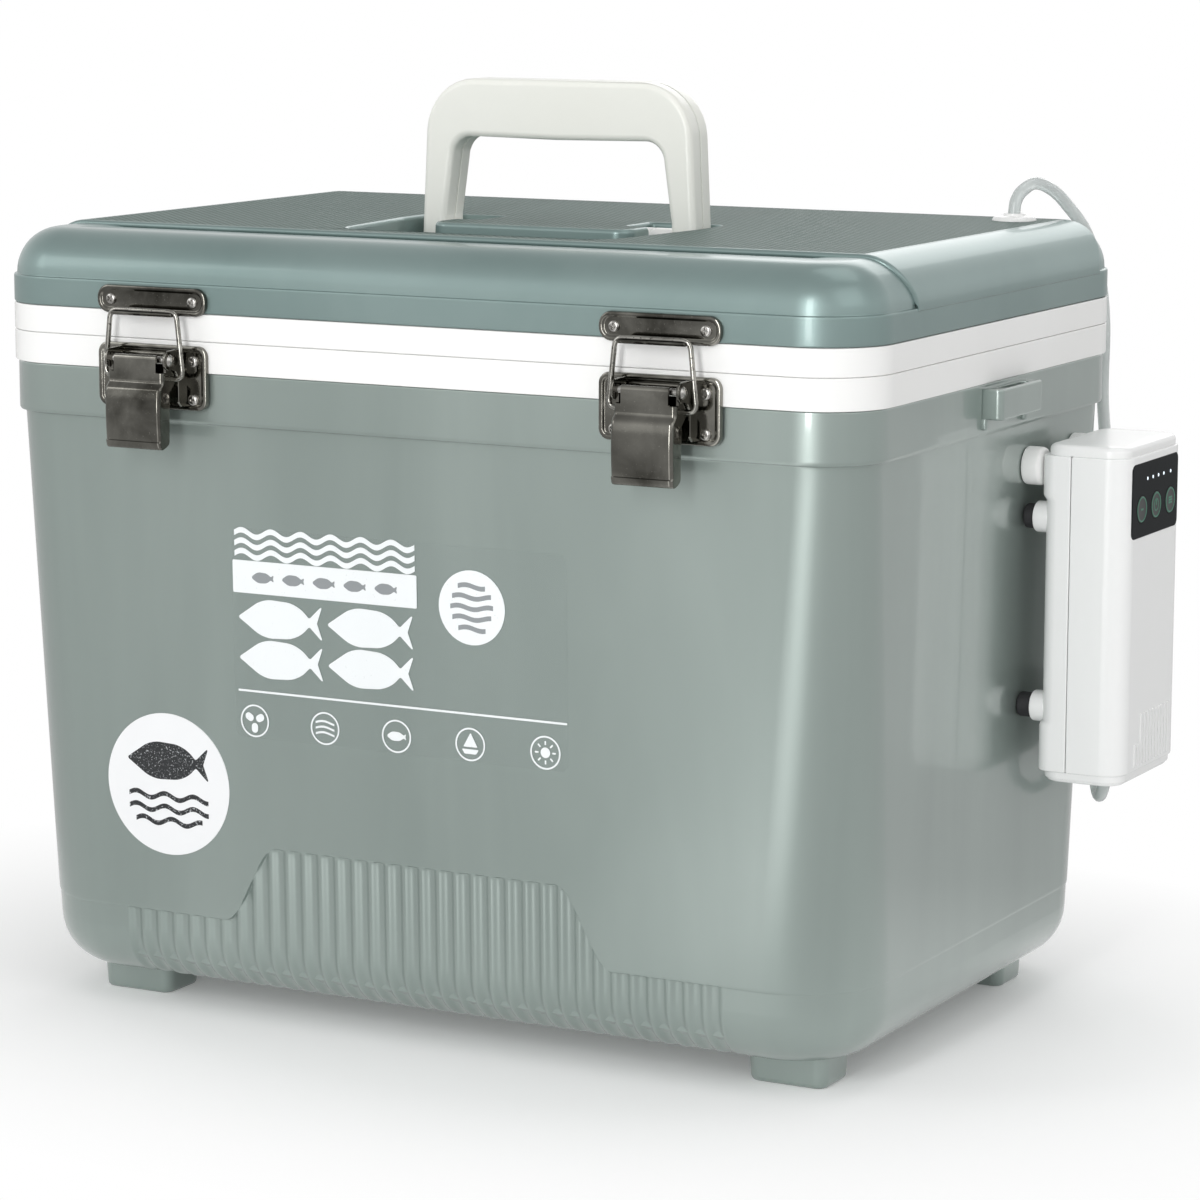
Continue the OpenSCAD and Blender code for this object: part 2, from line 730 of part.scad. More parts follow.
module handle_bush(s) {
    out_x = handle_half_l - leg_t;
    at_tub() translate([s * (bush_in_x + 0.3 + out_x) / 2, 0, pivot_z]) rotate([0, 90, 0]) difference() {
        cylinder(h = out_x - bush_in_x - 0.3, r = bush_r, center = true);
        cylinder(h = out_x, r = handle_pin_r + pin_clear, center = true);
    }
}

module handle_bush_left() color("#F6F6F4") handle_bush(-1);
module handle_bush_right() color("#F6F6F4") handle_bush(1);

module handle_pin(s) {
    at_tub() translate([s * (pin_in_x + pin_out_x - 0.3) / 2, 0, pivot_z]) rotate([0, 90, 0])
        cylinder(h = pin_out_x - 0.3 - pin_in_x, r = handle_pin_r, center = true);
}

module handle_pin_left() color("#B9BDBF") handle_pin(-1);
module handle_pin_right() color("#B9BDBF") handle_pin(1);

// ---- Latches ----

pivot_y = -half_w - pivot_out;
pivot_latch_z = seam_z - pivot_drop;
ear_in = lever_w / 2 + 0.3;
bail_y = pivot_y + 3.6;
bail_low_z = pivot_latch_z - bail_drop;
lip_out = -bail_y - wire_r - 0.4 - half_w;
// Thickness of the plates inside their pressed rim
plate_field_t = plate_t / 2 + 0.4;

// Puts a piece drawn round the latch's middle at the tub's front
module at_latch(s) {
    at_tub() translate([s * latch_x, 0, 0]) children();
}

// A plate with round corners that faces front, its back on the rim
module front_plate(l, h, r, t, z) {
    translate([0, -half_w, z + h / 2]) rotate([90, 0, 0]) linear_extrude(t) round_rect(l, h, r);
}

// Outline of one ear, seen from the left: y outwards, z up
module ear_outline() {
    reach = pivot_out;
    translate([-half_w, 0]) {
        polygon([
            [0, pivot_latch_z + 5], [-reach, pivot_latch_z + 4.4], [-reach, pivot_latch_z - 4.4],
            [-reach + 2.5, pivot_latch_z - 4.4], [-reach + 4.6, pivot_latch_z - 5.2],
            [-5.2, pivot_latch_z - 8], [-5.2, seam_z - base_plate_drop - base_plate_h + 4],
            [-plate_t, seam_z - base_plate_drop - base_plate_h + 1.5],
            [0, seam_z - base_plate_drop - base_plate_h + 1.5]
        ]);
        translate([-reach, pivot_latch_z]) circle(4.4);
    }
}

module latch_base(s) {
    low = seam_z - base_plate_drop - base_plate_h;
    at_latch(s) difference() {
        union() {
            difference() {
                front_plate(plate_l, base_plate_h, 5, plate_t, low);
                translate([0, -plate_field_t, 0])
                    front_plate(plate_l - 2 * base_rim_w, base_plate_h - 2 * base_rim_w, 5 - base_rim_w,
                        plate_t, low + base_rim_w);
            }
            for (x = [-1, 1])
                translate([x * (ear_in + sheet_t / 2), 0, 0]) rotate([90, 0, 90])
                    linear_extrude(sheet_t, center = true) ear_outline();
            translate([0, 0.2 - plate_t / 2, 0])
                front_plate(lever_w, 3, 1.4, plate_t, low + base_plate_h - 4.6);
        }
        for (x = [-1, 1], z = base_screw_z)
            translate([x * base_screw_x, -half_w - plate_t - 1, seam_z + z])
                rotate([-90, 0, 0]) cylinder(h = plate_t + 2, r = screw_r);
        translate([0, pivot_y, pivot_latch_z]) rotate([0, 90, 0])
            cylinder(h = 2 * lever_w, r = rivet_r, center = true);
    }
}

module latch_base_left() color("#8C8880") latch_base(-1);
module latch_base_right() color("#8C8880") latch_base(1);

module latch_rivet(s) {
    head_l = 1.6;
    at_latch(s) translate([0, pivot_y, pivot_latch_z]) rotate([0, 90, 0]) union() {
        cylinder(h = 2 * (ear_in + sheet_t) + 0.1, r = rivet_r, center = true);
        for (x = [-1, 1])
            translate([0, 0, x * (ear_in + sheet_t + head_l / 2)])
                cylinder(h = head_l, r = rivet_r + 1, center = true);
    }
}

module latch_rivet_left() color("#B8B5AE") latch_rivet(-1);
module latch_rivet_right() color("#B8B5AE") latch_rivet(1);

// The lever's section in the plane of its swing: y outwards, z up
lever_step = 11;
lever_top = 2.4;
face_out = 4;
step_out = 3;

module lever_side() {
    polygon([
        [face_out, lever_top], [-face_out, lever_top], [-5.8, -2], [-5.8, -bail_drop - 2.6],
        [-2, -lever_step - 3], [-1.5, -lever_l + 3], [face_out - 1, -lever_l],
        [face_out + step_out, -lever_l], [face_out + step_out, -lever_step - 2], [face_out, -lever_step + 1]
    ]);
}

// The hollow behind the lever's face
module lever_hollow() {
    polygon([
        [face_out - sheet_t, lever_top + 1], [-20, lever_top + 1], [-20, -lever_l - 1],
        [face_out - 1, -lever_l - 1], [face_out - 1, -lever_l + sheet_t],
        [face_out + step_out - sheet_t, -lever_l + sheet_t],
        [face_out + step_out - sheet_t, -lever_step - 2.4], [face_out - sheet_t, -lever_step + 0.6]
    ]);
}

module latch_lever(s) {
    at_latch(s) translate([0, pivot_y, pivot_latch_z]) mirror([0, 1, 0]) difference() {
        rotate([90, 0, 90]) linear_extrude(lever_w, center = true) lever_side();
        rotate([90, 0, 90]) linear_extrude(lever_w - 2 * sheet_t, center = true) lever_hollow();
        rotate([0, 90, 0]) cylinder(h = 2 * lever_w, r = rivet_r + 0.05, center = true);
        translate([0, -(bail_y - pivot_y), -bail_drop]) rotate([0, 90, 0])
            cylinder(h = 2 * lever_w, r = wire_r + 0.05, center = true);
    }
}

module latch_lever_left() color("#8C8880") latch_lever(-1);
module latch_lever_right() color("#8C8880") latch_lever(1);

// A straight wire between two points
module wire(a, b) {
    run = b - a;
    translate(a) rotate([0, acos(run[2] / norm(run)), atan2(run[1], run[0])])
        cylinder(h = norm(run), r = wire_r);
}

module latch_bail(s) {
    end_x = lever_w / 2 - sheet_t - 0.8;
    at_latch(s) translate([0, bail_y, bail_low_z]) {
        wire([-bail_half_top, 0, bail_h], [bail_half_top, 0, bail_h]);
        for (x = [-1, 1]) {
            wire([x * end_x, 0, 0], [x * bail_half_low, 0, 0]);
            wire([x * bail_half_low, 0, 0], [x * bail_half_top, 0, bail_h]);
            translate([x * bail_half_low, 0, 0]) sphere(bail_ball_r);
            translate([x * bail_half_top, 0, bail_h]) sphere(bail_ball_r);
        }
    }
}

module latch_bail_left() color("#C6C3BC") latch_bail(-1);
module latch_bail_right() color("#C6C3BC") latch_bail(1);

module strike(s) {
    lip_half = bail_half_top - 1;
    at_latch(s) difference() {
        union() {
            difference() {
                front_plate(plate_l, strike_h, strike_h / 2 - 0.5, plate_t, seam_z + strike_rise);
                translate([0, -plate_field_t, 0])
                    front_plate(plate_l - 2 * strike_rim_w, strike_h - 2 * strike_rim_w,
                        strike_h / 2 - 0.5 - strike_rim_w, plate_t, seam_z + strike_rise + strike_rim_w);
            }
            translate([0, -half_w, seam_z + strike_rise]) rotate([90, 0, 90])
                linear_extrude(2 * lip_half, center = true)
                    polygon([[0, 0], [-lip_out + 1, 0], [-lip_out, 1], [-lip_out, 3], [-lip_out + 1.2, 3],
                        [-lip_out + 1.6, 1.8], [-plate_t, 1.8], [0, 4]]);
        }
        for (x = [-1, 1])
            translate([x * base_screw_x, -half_w - plate_t - 1, seam_z + strike_screw_z])
                rotate([-90, 0, 0]) cylinder(h = plate_t + 2, r = screw_r);
    }
}

module strike_left() color("#8C8880") strike(-1);
module strike_right() color("#8C8880") strike(1);

// A pan-head screw that points into the wall, its head on the plate's field
module front_screw(field_t, grip) {
    head_h = 1.4;
    translate([0, -half_w - field_t, 0]) rotate([-90, 0, 0]) union() {
        cylinder(h = field_t + grip, r = screw_r - 0.02);
        difference() {
            translate([0, 0, -head_h]) cylinder(h = head_h, r1 = screw_head_r - 0.8, r2 = screw_head_r);
            for (turn = [0, 90])
                rotate([0, 0, turn]) translate([-1.4, -0.3, -head_h - 0.1]) cube([2.8, 0.6, 0.8]);
        }
    }
}

module latch_base_screws() color("#C6C3BC") at_tub()
    for (s = [-1, 1], x = [-1, 1], z = base_screw_z)
        translate([s * latch_x + x * base_screw_x, 0, seam_z + z]) front_screw(plate_field_t, shell_t);

module strike_screws() color("#C6C3BC") at_tub()
    for (s = [-1, 1], x = [-1, 1])
        translate([s * latch_x + x * base_screw_x, 0, seam_z + strike_screw_z])
            front_screw(plate_field_t, shell_t);

// ---- Rear hinges ----

hinge_y = half_w + knuckle_r + 0.4;
lid_knuckle_half = hinge_l / 6;

// One hinge leaf with its knuckles: up is 1 for the lid's leaf and -1 for the tub's
module hinge_leaf(s, up) {
    root = knuckle_r + 1.2;
    at_tub() translate([s * hinge_x, 0, seam_z]) difference() {
        union() {
            translate([-hinge_l / 2, half_w, up > 0 ? root : -leaf_h]) cube([hinge_l, leaf_t, leaf_h - root]);
            intersection() {
                union() {
                    translate([0, hinge_y, 0]) rotate([0, 90, 0])
                        cylinder(h = hinge_l, r = knuckle_r, center = true);
                    translate([-hinge_l / 2, half_w, up > 0 ? 0 : -root - 1])
                        cube([hinge_l, leaf_t, root + 1]);
                }
                knuckle_span(up);
            }
        }
        translate([0, hinge_y, 0]) rotate([0, 90, 0])
            cylinder(h = hinge_l + 2, r = hinge_pin_r + (up > 0 ? pin_clear : 0), center = true);
        for (x = [-1, 1])
            translate([x * leaf_screw_x, half_w - 1, up * (leaf_h - 3)]) rotate([-90, 0, 0])
                cylinder(h = leaf_t + 2, r = screw_r);
    }
}

// The stretches along the pin that belong to one leaf
module knuckle_span(up) {
    if (up > 0)
        translate([-lid_knuckle_half + knuckle_gap, 0, -50])
            cube([2 * (lid_knuckle_half - knuckle_gap), tub_w, 100]);
    else
        for (x = [-hinge_l / 2, lid_knuckle_half])
            translate([x, 0, -50]) cube([hinge_l / 2 - lid_knuckle_half, tub_w, 100]);
}

module hinge_tub_leaf_left() color("#8C8880") hinge_leaf(-1, -1);
module hinge_tub_leaf_right() color("#8C8880") hinge_leaf(1, -1);
module hinge_lid_leaf_left() color("#A5A29A") hinge_leaf(-1, 1);
module hinge_lid_leaf_right() color("#A5A29A") hinge_leaf(1, 1);

module hinge_pin(s) {
    at_tub() translate([s * hinge_x, hinge_y, seam_z]) rotate([0, 90, 0])
        cylinder(h = hinge_l, r = hinge_pin_r, center = true);
}

module hinge_pin_left() color("#C6C3BC") hinge_pin(-1);
module hinge_pin_right() color("#C6C3BC") hinge_pin(1);

module hinge_screws(z) {
    for (s = [-1, 1], x = [-1, 1])
        translate([s * hinge_x + x * leaf_screw_x, 0, seam_z + z]) mirror([0, 1, 0])
            front_screw(leaf_t, shell_t);
}

module hinge_tub_screws() color("#C6C3BC") at_tub() hinge_screws(tub_leaf_screw_z);
module hinge_lid_screws() color("#C6C3BC") at_tub() hinge_screws(lid_leaf_screw_z);

// ---- Pump ----

pump_mid_x = pump_back_x + pump_t / 2;

// The pump's plan, shrunk on all sides, between two heights
module pump_slab(in, z0, z1) {
    translate([pump_mid_x, pump_y, z0]) linear_extrude(z1 - z0)
        round_rect(pump_t - 2 * in, pump_l - 2 * in, pump_r - in);
}

module pump_half(x0, x1) {
    intersection() {
        difference() {
            pump_slab(0, pump_z, pump_top);
            pump_slab(pump_wall, pump_z - 1, pump_top + 1);
        }
        translate([x0, pump_y - pump_l, pump_z]) cube([x1 - x0, 2 * pump_l, pump_h]);
    }
}

module pump_rear_case() color("#F3F3F1") at_tub() difference() {
    union() {
        pump_half(pump_back_x, pump_split_x - 0.1);
        for (y = [-bumper_y, bumper_y], z = bumper_z)
            translate([pump_back_x - boss_l, pump_y + y, z]) rotate([0, 90, 0])
                cylinder(h = boss_l + 1, r = bumper_r);
    }
    for (y = [-bumper_y, bumper_y], z = bumper_z)
        translate([pump_back_x - boss_l - 1, pump_y + y, z]) rotate([0, 90, 0]) cylinder(h = 5, r = 2.5);
    for (y = [-bumper_y, bumper_y])
        translate([pump_back_x - 1, pump_y + y, knob_z]) rotate([0, 90, 0])
            cylinder(h = pump_wall + 4, r = 3.1);
}

panel_z0 = pump_top - panel_drop;
panel_t = 1.2;
// Ribs of the grip low on the case's front
grip_rib_count = 9;
grip_rib_pitch = 4;
grip_rib_w = 1.6;
grip_rib_l = 22;

module pump_front_case() color("#F3F3F1") at_tub() difference() {
    union() {
        pump_half(pump_split_x, pump_front_x);
        for (y = [-24, 24], z = [-12, 12])
            translate([pump_front_x - pump_wall - 2.6, pump_y + y, panel_z0 + z])
                rotate([0, 90, 0]) cylinder(h = 3, r = 2.5);
        for (i = [0 : grip_rib_count - 1])
            translate([pump_front_x - 0.5,
                pump_y + (i - (grip_rib_count - 1) / 2) * grip_rib_pitch - grip_rib_w / 2, pump_z + 1.5])
                cube([1.1, grip_rib_w, grip_rib_l]);
    }
    translate([pump_front_x - panel_t, pump_y, panel_z0]) rotate([90, 0, 90])
        linear_extrude(5) round_rect(panel_l + 0.2, panel_h + 0.2, 3);
    buttons(button_r - 1.5, -10, 20);
    lights(1.1, -10, 20);
}

// Three discs or bores at the buttons' places, from d outside the case's face
module buttons(r, d, h) {
    for (i = [-1, 0, 1]) button_disc(i, r, d, h);
}

button_z = panel_z0 - 4.3;

module button_disc(i, r, d, h) {
    translate([pump_front_x + d, pump_y + 1 + i * button_pitch, button_z]) rotate([0, 90, 0])
        cylinder(h = h, r = r);
}

// Places of the charge and speed lights along the panel
light_y = [-10.5, -3.5, 3.5, 10.5, 19.5];
light_z = panel_z0 + 9.3;

module lights(r, d, h) {
    for (y = light_y)
        translate([pump_front_x + d, pump_y + y, light_z]) rotate([0, 90, 0]) cylinder(h = h, r = r);
}

module pump_panel() color("#111314") at_tub() difference() {
    translate([pump_front_x - panel_t + 0.1, pump_y, panel_z0]) rotate([90, 0, 90])
        linear_extrude(panel_t) round_rect(panel_l, panel_h, 3);
    buttons(button_r + 0.3, -10, 20);
    lights(0.9, -10, 20);
}

// One button: its cap in the panel and the stem that reaches the board
module pump_button(i) {
    at_tub() union() {
        button_disc(i, button_r, -0.5, 0.9);
        button_disc(i, button_r - 1.9, -4.3, 4);
    }
}

module pump_button_slow() color("#1C2622") pump_button(-1);
module pump_button_power() color("#1C2622") pump_button(0);
module pump_button_fast() color("#1C2622") pump_button(1);

module pump_lights() color("#D9E4F2") at_tub() lights(0.85, -5.1 + 0.05, 5.2);

module pump_top_cap() color("#F3F3F1") at_tub() union() {
    pump_slab(cap_in, pump_top, pump_top + cap_h - 2);
    pump_slab(cap_in + 2, pump_top + cap_h - 2, pump_top + cap_h);
    difference() {
        pump_slab(pump_wall + 0.2, pump_top - 3, pump_top);
        pump_slab(pump_wall + 2.2, pump_top - 4, pump_top + 1);
        translate([pump_back_x, pump_y - pump_l, pump_top - 4]) cube([pump_wall + 5, 2 * pump_l, 5]);
    }
}

outlet_x = pump_back_x + 10;
outlet_y = pump_y + 24;

module pump_bottom_cap() color("#F3F3F1") at_tub() difference() {
    union() {
        pump_slab(cap_in, pump_z - cap_h + 1.5, pump_z);
        pump_slab(cap_in + 1.5, pump_z - cap_h, pump_z);
        difference() {
            pump_slab(pump_wall + 0.2, pump_z, pump_z + 3);
            pump_slab(pump_wall + 2.2, pump_z - 1, pump_z + 4);
        }
    }
    translate([outlet_x, outlet_y, pump_z - 10]) cylinder(h = 12, r = 4);
}

board_t = 1.6;
board_l = panel_l - 1;
board_h = panel_h - 0.5;
board_x = pump_front_x - pump_wall - 2.6 - board_t;

module pump_circuit_board() color("#1F6B45") at_tub()
    translate([board_x, pump_y - board_l / 2, panel_z0 - board_h / 2]) cube([board_t, board_l, board_h]);

battery_x = pump_back_x + pump_wall + 2.4;
battery_t = 20;
battery_l = pump_l / 2;
battery_h = 66;
// A pad on the battery that carries the diaphragm unit
pad_h = 1.5;

module pump_battery() color("#3C6FB0") at_tub() union() {
    translate([battery_x, pump_y + 11 - battery_l, pump_z]) cube([battery_t, battery_l, battery_h]);
    translate([battery_x + 4, pump_y - 13, pump_z + battery_h]) cube([12, 10, pad_h]);
}

unit_z = pump_z + battery_h + pad_h;
unit_l = 36;
block_h = 12;
block_t = 26;
hose_r = 3;
hose_bore_r = 1.5;

// The diaphragm unit: a round coil on a square valve block with a side port
module pump_diaphragm_unit() color("#4A4D50") at_tub() union() {
    translate([pump_back_x + pump_wall, pump_y - unit_l / 2, unit_z]) cube([block_t, unit_l, block_h]);
    translate([pump_back_x + pump_wall + block_t / 2, pump_y, unit_z + block_h])
        cylinder(h = 2 * block_h, r = block_h);
    translate([outlet_x - 5, pump_y + unit_l / 2, unit_z + 1]) cube([10, 11, block_h - 2]);
}

module pump_inner_hose() color("#DDE2E0") at_tub() translate([outlet_x, outlet_y, pump_z + 3]) difference() {
    cylinder(h = unit_z + 1 - pump_z - 3, r = hose_r);
    translate([0, 0, -1]) cylinder(h = battery_h + block_h, r = hose_bore_r);
}

module pump_outlet() color("#E9EAE8") at_tub() translate([outlet_x, outlet_y, pump_z]) difference() {
    union() {
        translate([0, 0, -cap_h - 1]) cylinder(h = cap_h + 4, r = 4);
        cylinder(h = 2, r = 5);
    }
    translate([0, 0, -20]) cylinder(h = 40, r = hose_bore_r);
    translate([0, 0, -cap_h - 2]) cylinder(h = 3, r = tube_socket);
}

module pump_bumpers() color("#1B1C1D") at_tub()
    for (y = [-bumper_y, bumper_y], z = bumper_z) {
        x0 = wall_x(z + bumper_r) + 0.05;
        translate([x0, pump_y + y, z]) rotate([0, 90, 0]) union() {
            cylinder(h = pump_back_x - boss_l - 0.02 - x0, r = bumper_r - 1.5);
            cylinder(h = pump_back_x - boss_l - x0 + 3.5, r = 2.45);
        }
    }

module pump_hanger_knobs() color("#F3F3F1") at_tub()
    for (y = [-bumper_y, bumper_y]) {
        x0 = wall_x(knob_z + knob_r) + 0.05;
        translate([x0, pump_y + y, knob_z]) rotate([0, 90, 0]) difference() {
            union() {
                cylinder(h = pump_back_x - 0.2 - x0, r = knob_r);
                cylinder(h = pump_back_x + pump_wall + 2 - x0, r = 3);
            }
            translate([0, 0, -1]) cylinder(h = 40, r = knob_screw_r);
        }
    }

module pump_hanger_screws() color("#B9BDBF") at_tub()
    for (y = [-bumper_y, bumper_y]) {
        x1 = pump_back_x + pump_wall + 2.02;
        x0 = wall_x(knob_z) - shell_t;
        translate([x0, pump_y + y, knob_z]) rotate([0, 90, 0]) union() {
            cylinder(h = x1 - x0, r = knob_screw_r - 0.02);
            translate([0, 0, x1 - x0]) cylinder(h = 1.8, r = 3.4);
        }
    }

// ---- Air line ----

// A point on the smooth curve through four neighbouring points
function spline(a, b, c, d, t) =
    0.5 * (2 * b + (c - a) * t + (2 * a - 5 * b + 4 * c - d) * t * t + (3 * b - a - 3 * c + d) * t * t * t);

// The whole route: tube_steps pieces between each pair of points
function route(p) = [
    for (i = [0 : len(p) - 2], k = [0 : tube_steps - 1])
        spline(p[max(i - 1, 0)], p[i], p[i + 1], p[min(i + 2, len(p) - 1)], k / tube_steps),
    p[len(p) - 1]
];

function unit(v) = v / norm(v);
function heading(p, i) = unit(p[min(i + 1, len(p) - 1)] - p[max(i - 1, 0)]);

// Side directions carried along the route without twist
function sides_along(p, i, last) =
    i == len(p) ? [] :
    let (h = heading(p, i), side = unit(last - h * (h * last)))
    concat([side], sides_along(p, i + 1, side));

// A closed round tube along a list of points
module tube(points, d, first_side) {
    p = route(points);
    side = sides_along(p, 0, first_side);
    n = len(p);
    m = tube_sides;
    rings = [
        for (i = [0 : n - 1], k = [0 : m - 1])
            let (a = 360 * k / m, h = heading(p, i), other = cross(h, side[i]))
            p[i] + d / 2 * (cos(a) * side[i] + sin(a) * other)
    ];
    walls = [
        for (i = [0 : n - 2], k = [0 : m - 1], half = [0, 1])
            let (a = i * m + k, b = i * m + (k + 1) % m)
            half == 0 ? [a, b, a + m] : [b, b + m, a + m]
    ];
    low = [for (k = [1 : m - 2]) [0, k + 1, k]];
    high = [for (k = [1 : m - 2]) [n * m - m, n * m - m + k, n * m - m + k + 1]];
    polyhedron(points = rings, faces = concat(walls, low, high));
}

// Places that the tubes' routes are drawn from
outlet_at = [outlet_x, outlet_y, pump_z];
pump_side_at = [half_l, pump_y, pump_z];
lid_end_at = [half_l, grommet_y, panel_z];
grommet_at = [grommet_x, grommet_y, panel_z];
mouth_at = [grommet_x, grommet_y, seam_z];
inner_wall_at = [grommet_x, grommet_y, cavity_z];
stone_at = [stone_x, stone_y, cavity_z];

// Each offset added to one place
function from(place, offsets) = [for (d = offsets) place + d];

// Route of the outer tube: from the pump's outlet, under it, up its side and over the lid
outer_route = concat(
    from(outlet_at, [[0, 0, -4.1], [0, 0, -9], [0, 0, -14], [-1, 1, -19], [-6, 9, -25], [-11, 17, -21],
        [-13, 21, -10]]),
    from(pump_side_at, [[3.5, 48, 28], [3.5, 51, 88], [-2, 66, 132]]),
    from(lid_end_at, [[-11, 46, -86], [-11.5, 47.5, -53], [-15.5, 50, -29], [-20.5, 44, -8], [-27, 33, 6.5]]),
    from(grommet_at, [[9, 24.5, 13.5], [5, 13.5, 17], [1.6, 5.2, 13.6], [0.3, 1.2, 9.2], [0, 0, 4.6], [0, 0, 0.5]])
);

// Route of the inner tube: from the grommet through the lid, down into the tub, to the air stone
inner_route = concat(
    from(grommet_at, [[0, 0, -12.1], [0, 0, -16], [0, 0, -20], [-3, -1.5, -26]]),
    from(mouth_at, [[-11, -5, 12], [-17, -8, 2], [-23, -11, -10], [-26, -13, -24], [-27, -15, -62],
        [-27, -17, -142]]),
    from(inner_wall_at, [[-29, -19, 58], [-35, -25, 22], [-47, -41, 7]]),
    from(stone_at, [[40, 14, 6], [26, 4, 8], [14, 0, 9], [6, 0, 9], [0, 0, 9]])
);

module air_tube() color("#D8DDDB") at_tub() tube(outer_route, tube_d, [1, 0, 0]);
module inner_air_tube() color("#D8DDDB") at_tub() tube(inner_route, tube_d, [1, 0, 0]);

module air_stone() color("#4C7FA6") at_tub()
    translate([stone_x, stone_y, cavity_z + stone_r + 0.05]) rotate([0, -90, 0])
        cylinder(h = stone_l, r = stone_r);

tub_shell();
tub_liner();
tub_foam();
round_sticker();
clear_label();
lid_shell();
lid_pan();
lid_foam();
lid_gasket();
tube_grommet();
handle();
handle_bush_left();
handle_bush_right();
handle_pin_left();
handle_pin_right();
latch_base_left();
latch_base_right();
latch_rivet_left();
latch_rivet_right();
latch_lever_left();
latch_lever_right();
latch_bail_left();
latch_bail_right();
strike_left();
strike_right();
latch_base_screws();
strike_screws();
hinge_tub_leaf_left();
hinge_tub_leaf_right();
hinge_lid_leaf_left();
hinge_lid_leaf_right();
hinge_pin_left();
hinge_pin_right();
hinge_tub_screws();
hinge_lid_screws();
pump_rear_case();
pump_front_case();
pump_top_cap();
pump_bottom_cap();
pump_panel();
pump_button_slow();
pump_button_power();
pump_button_fast();
pump_lights();
pump_circuit_board();
pump_battery();
pump_diaphragm_unit();
pump_inner_hose();
pump_outlet();
pump_bumpers();
pump_hanger_knobs();
pump_hanger_screws();
air_tube();
inner_air_tube();
air_stone();
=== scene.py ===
import json
import logging
import math
from collections.abc import Callable, Iterable, Sequence
from dataclasses import dataclass, field
from enum import Enum

import bmesh
import bpy
from mathutils import Matrix, Vector

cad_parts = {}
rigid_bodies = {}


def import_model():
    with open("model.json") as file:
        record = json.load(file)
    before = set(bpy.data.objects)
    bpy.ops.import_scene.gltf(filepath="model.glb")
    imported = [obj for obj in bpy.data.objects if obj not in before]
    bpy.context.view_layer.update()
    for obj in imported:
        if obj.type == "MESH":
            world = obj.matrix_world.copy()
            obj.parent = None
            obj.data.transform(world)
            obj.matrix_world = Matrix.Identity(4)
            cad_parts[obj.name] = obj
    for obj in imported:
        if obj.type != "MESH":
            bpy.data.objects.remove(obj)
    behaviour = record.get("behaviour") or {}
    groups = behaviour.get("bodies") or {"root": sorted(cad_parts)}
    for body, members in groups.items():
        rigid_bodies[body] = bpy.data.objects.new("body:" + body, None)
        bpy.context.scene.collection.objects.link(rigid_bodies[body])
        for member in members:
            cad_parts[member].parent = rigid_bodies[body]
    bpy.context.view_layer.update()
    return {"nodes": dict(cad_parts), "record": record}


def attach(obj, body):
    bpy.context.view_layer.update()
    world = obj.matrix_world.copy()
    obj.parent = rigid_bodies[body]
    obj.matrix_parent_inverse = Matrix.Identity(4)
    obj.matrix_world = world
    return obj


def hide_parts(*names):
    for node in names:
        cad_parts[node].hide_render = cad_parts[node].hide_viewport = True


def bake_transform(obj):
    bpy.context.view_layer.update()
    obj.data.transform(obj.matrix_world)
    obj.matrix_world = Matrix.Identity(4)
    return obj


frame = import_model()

Colour = tuple[float, float, float]
Ring = list[Vector]
Sockets = bpy.types.bpy_prop_collection

log = logging.getLogger("bait_tub")

MM = 0.001
# The tub's own middle in the object's frame, in metres
TUB_MIDDLE = Vector((-0.024, 0.005, 0.0))
IN_METRES = Matrix.Translation(TUB_MIDDLE) @ Matrix.Scale(MM, 4)
# Turns what is drawn along z so that it lies along x
ALONG_X = Matrix.Rotation(math.pi / 2, 4, "Y")

# The rim that tub and lid share: half length and half depth, corner, and height of the seam
RIM = (225.0, 154.3)
RIM_R = 33.0
SEAM = 322.0
LATCH_X = 130.8


class Facing(Enum):
    """How a shape drawn flat is turned: local x, y and outwards, as columns."""

    UP = ((1, 0, 0), (0, 1, 0), (0, 0, 1))
    FRONT = ((1, 0, 0), (0, 0, 1), (0, -1, 0))
    END = ((0, 1, 0), (0, 0, 1), (1, 0, 0))
    BACK = ((-1, 0, 0), (0, 0, 1), (0, 1, 0))

    def at(self, x: float, y: float, z: float) -> Matrix:
        """Matrix that turns a flat drawing this way and moves it to a point."""
        columns = Matrix(self.value).transposed().to_4x4()
        return Matrix.Translation((x, y, z)) @ columns


class Side(Enum):
    """The left or right one of a pair along the tub's length."""

    LEFT = -1
    RIGHT = 1

    @property
    def word(self) -> str:
        """The side's name in lower case."""
        return self.name.lower()


# ---------------------------------------------------------------- shaping


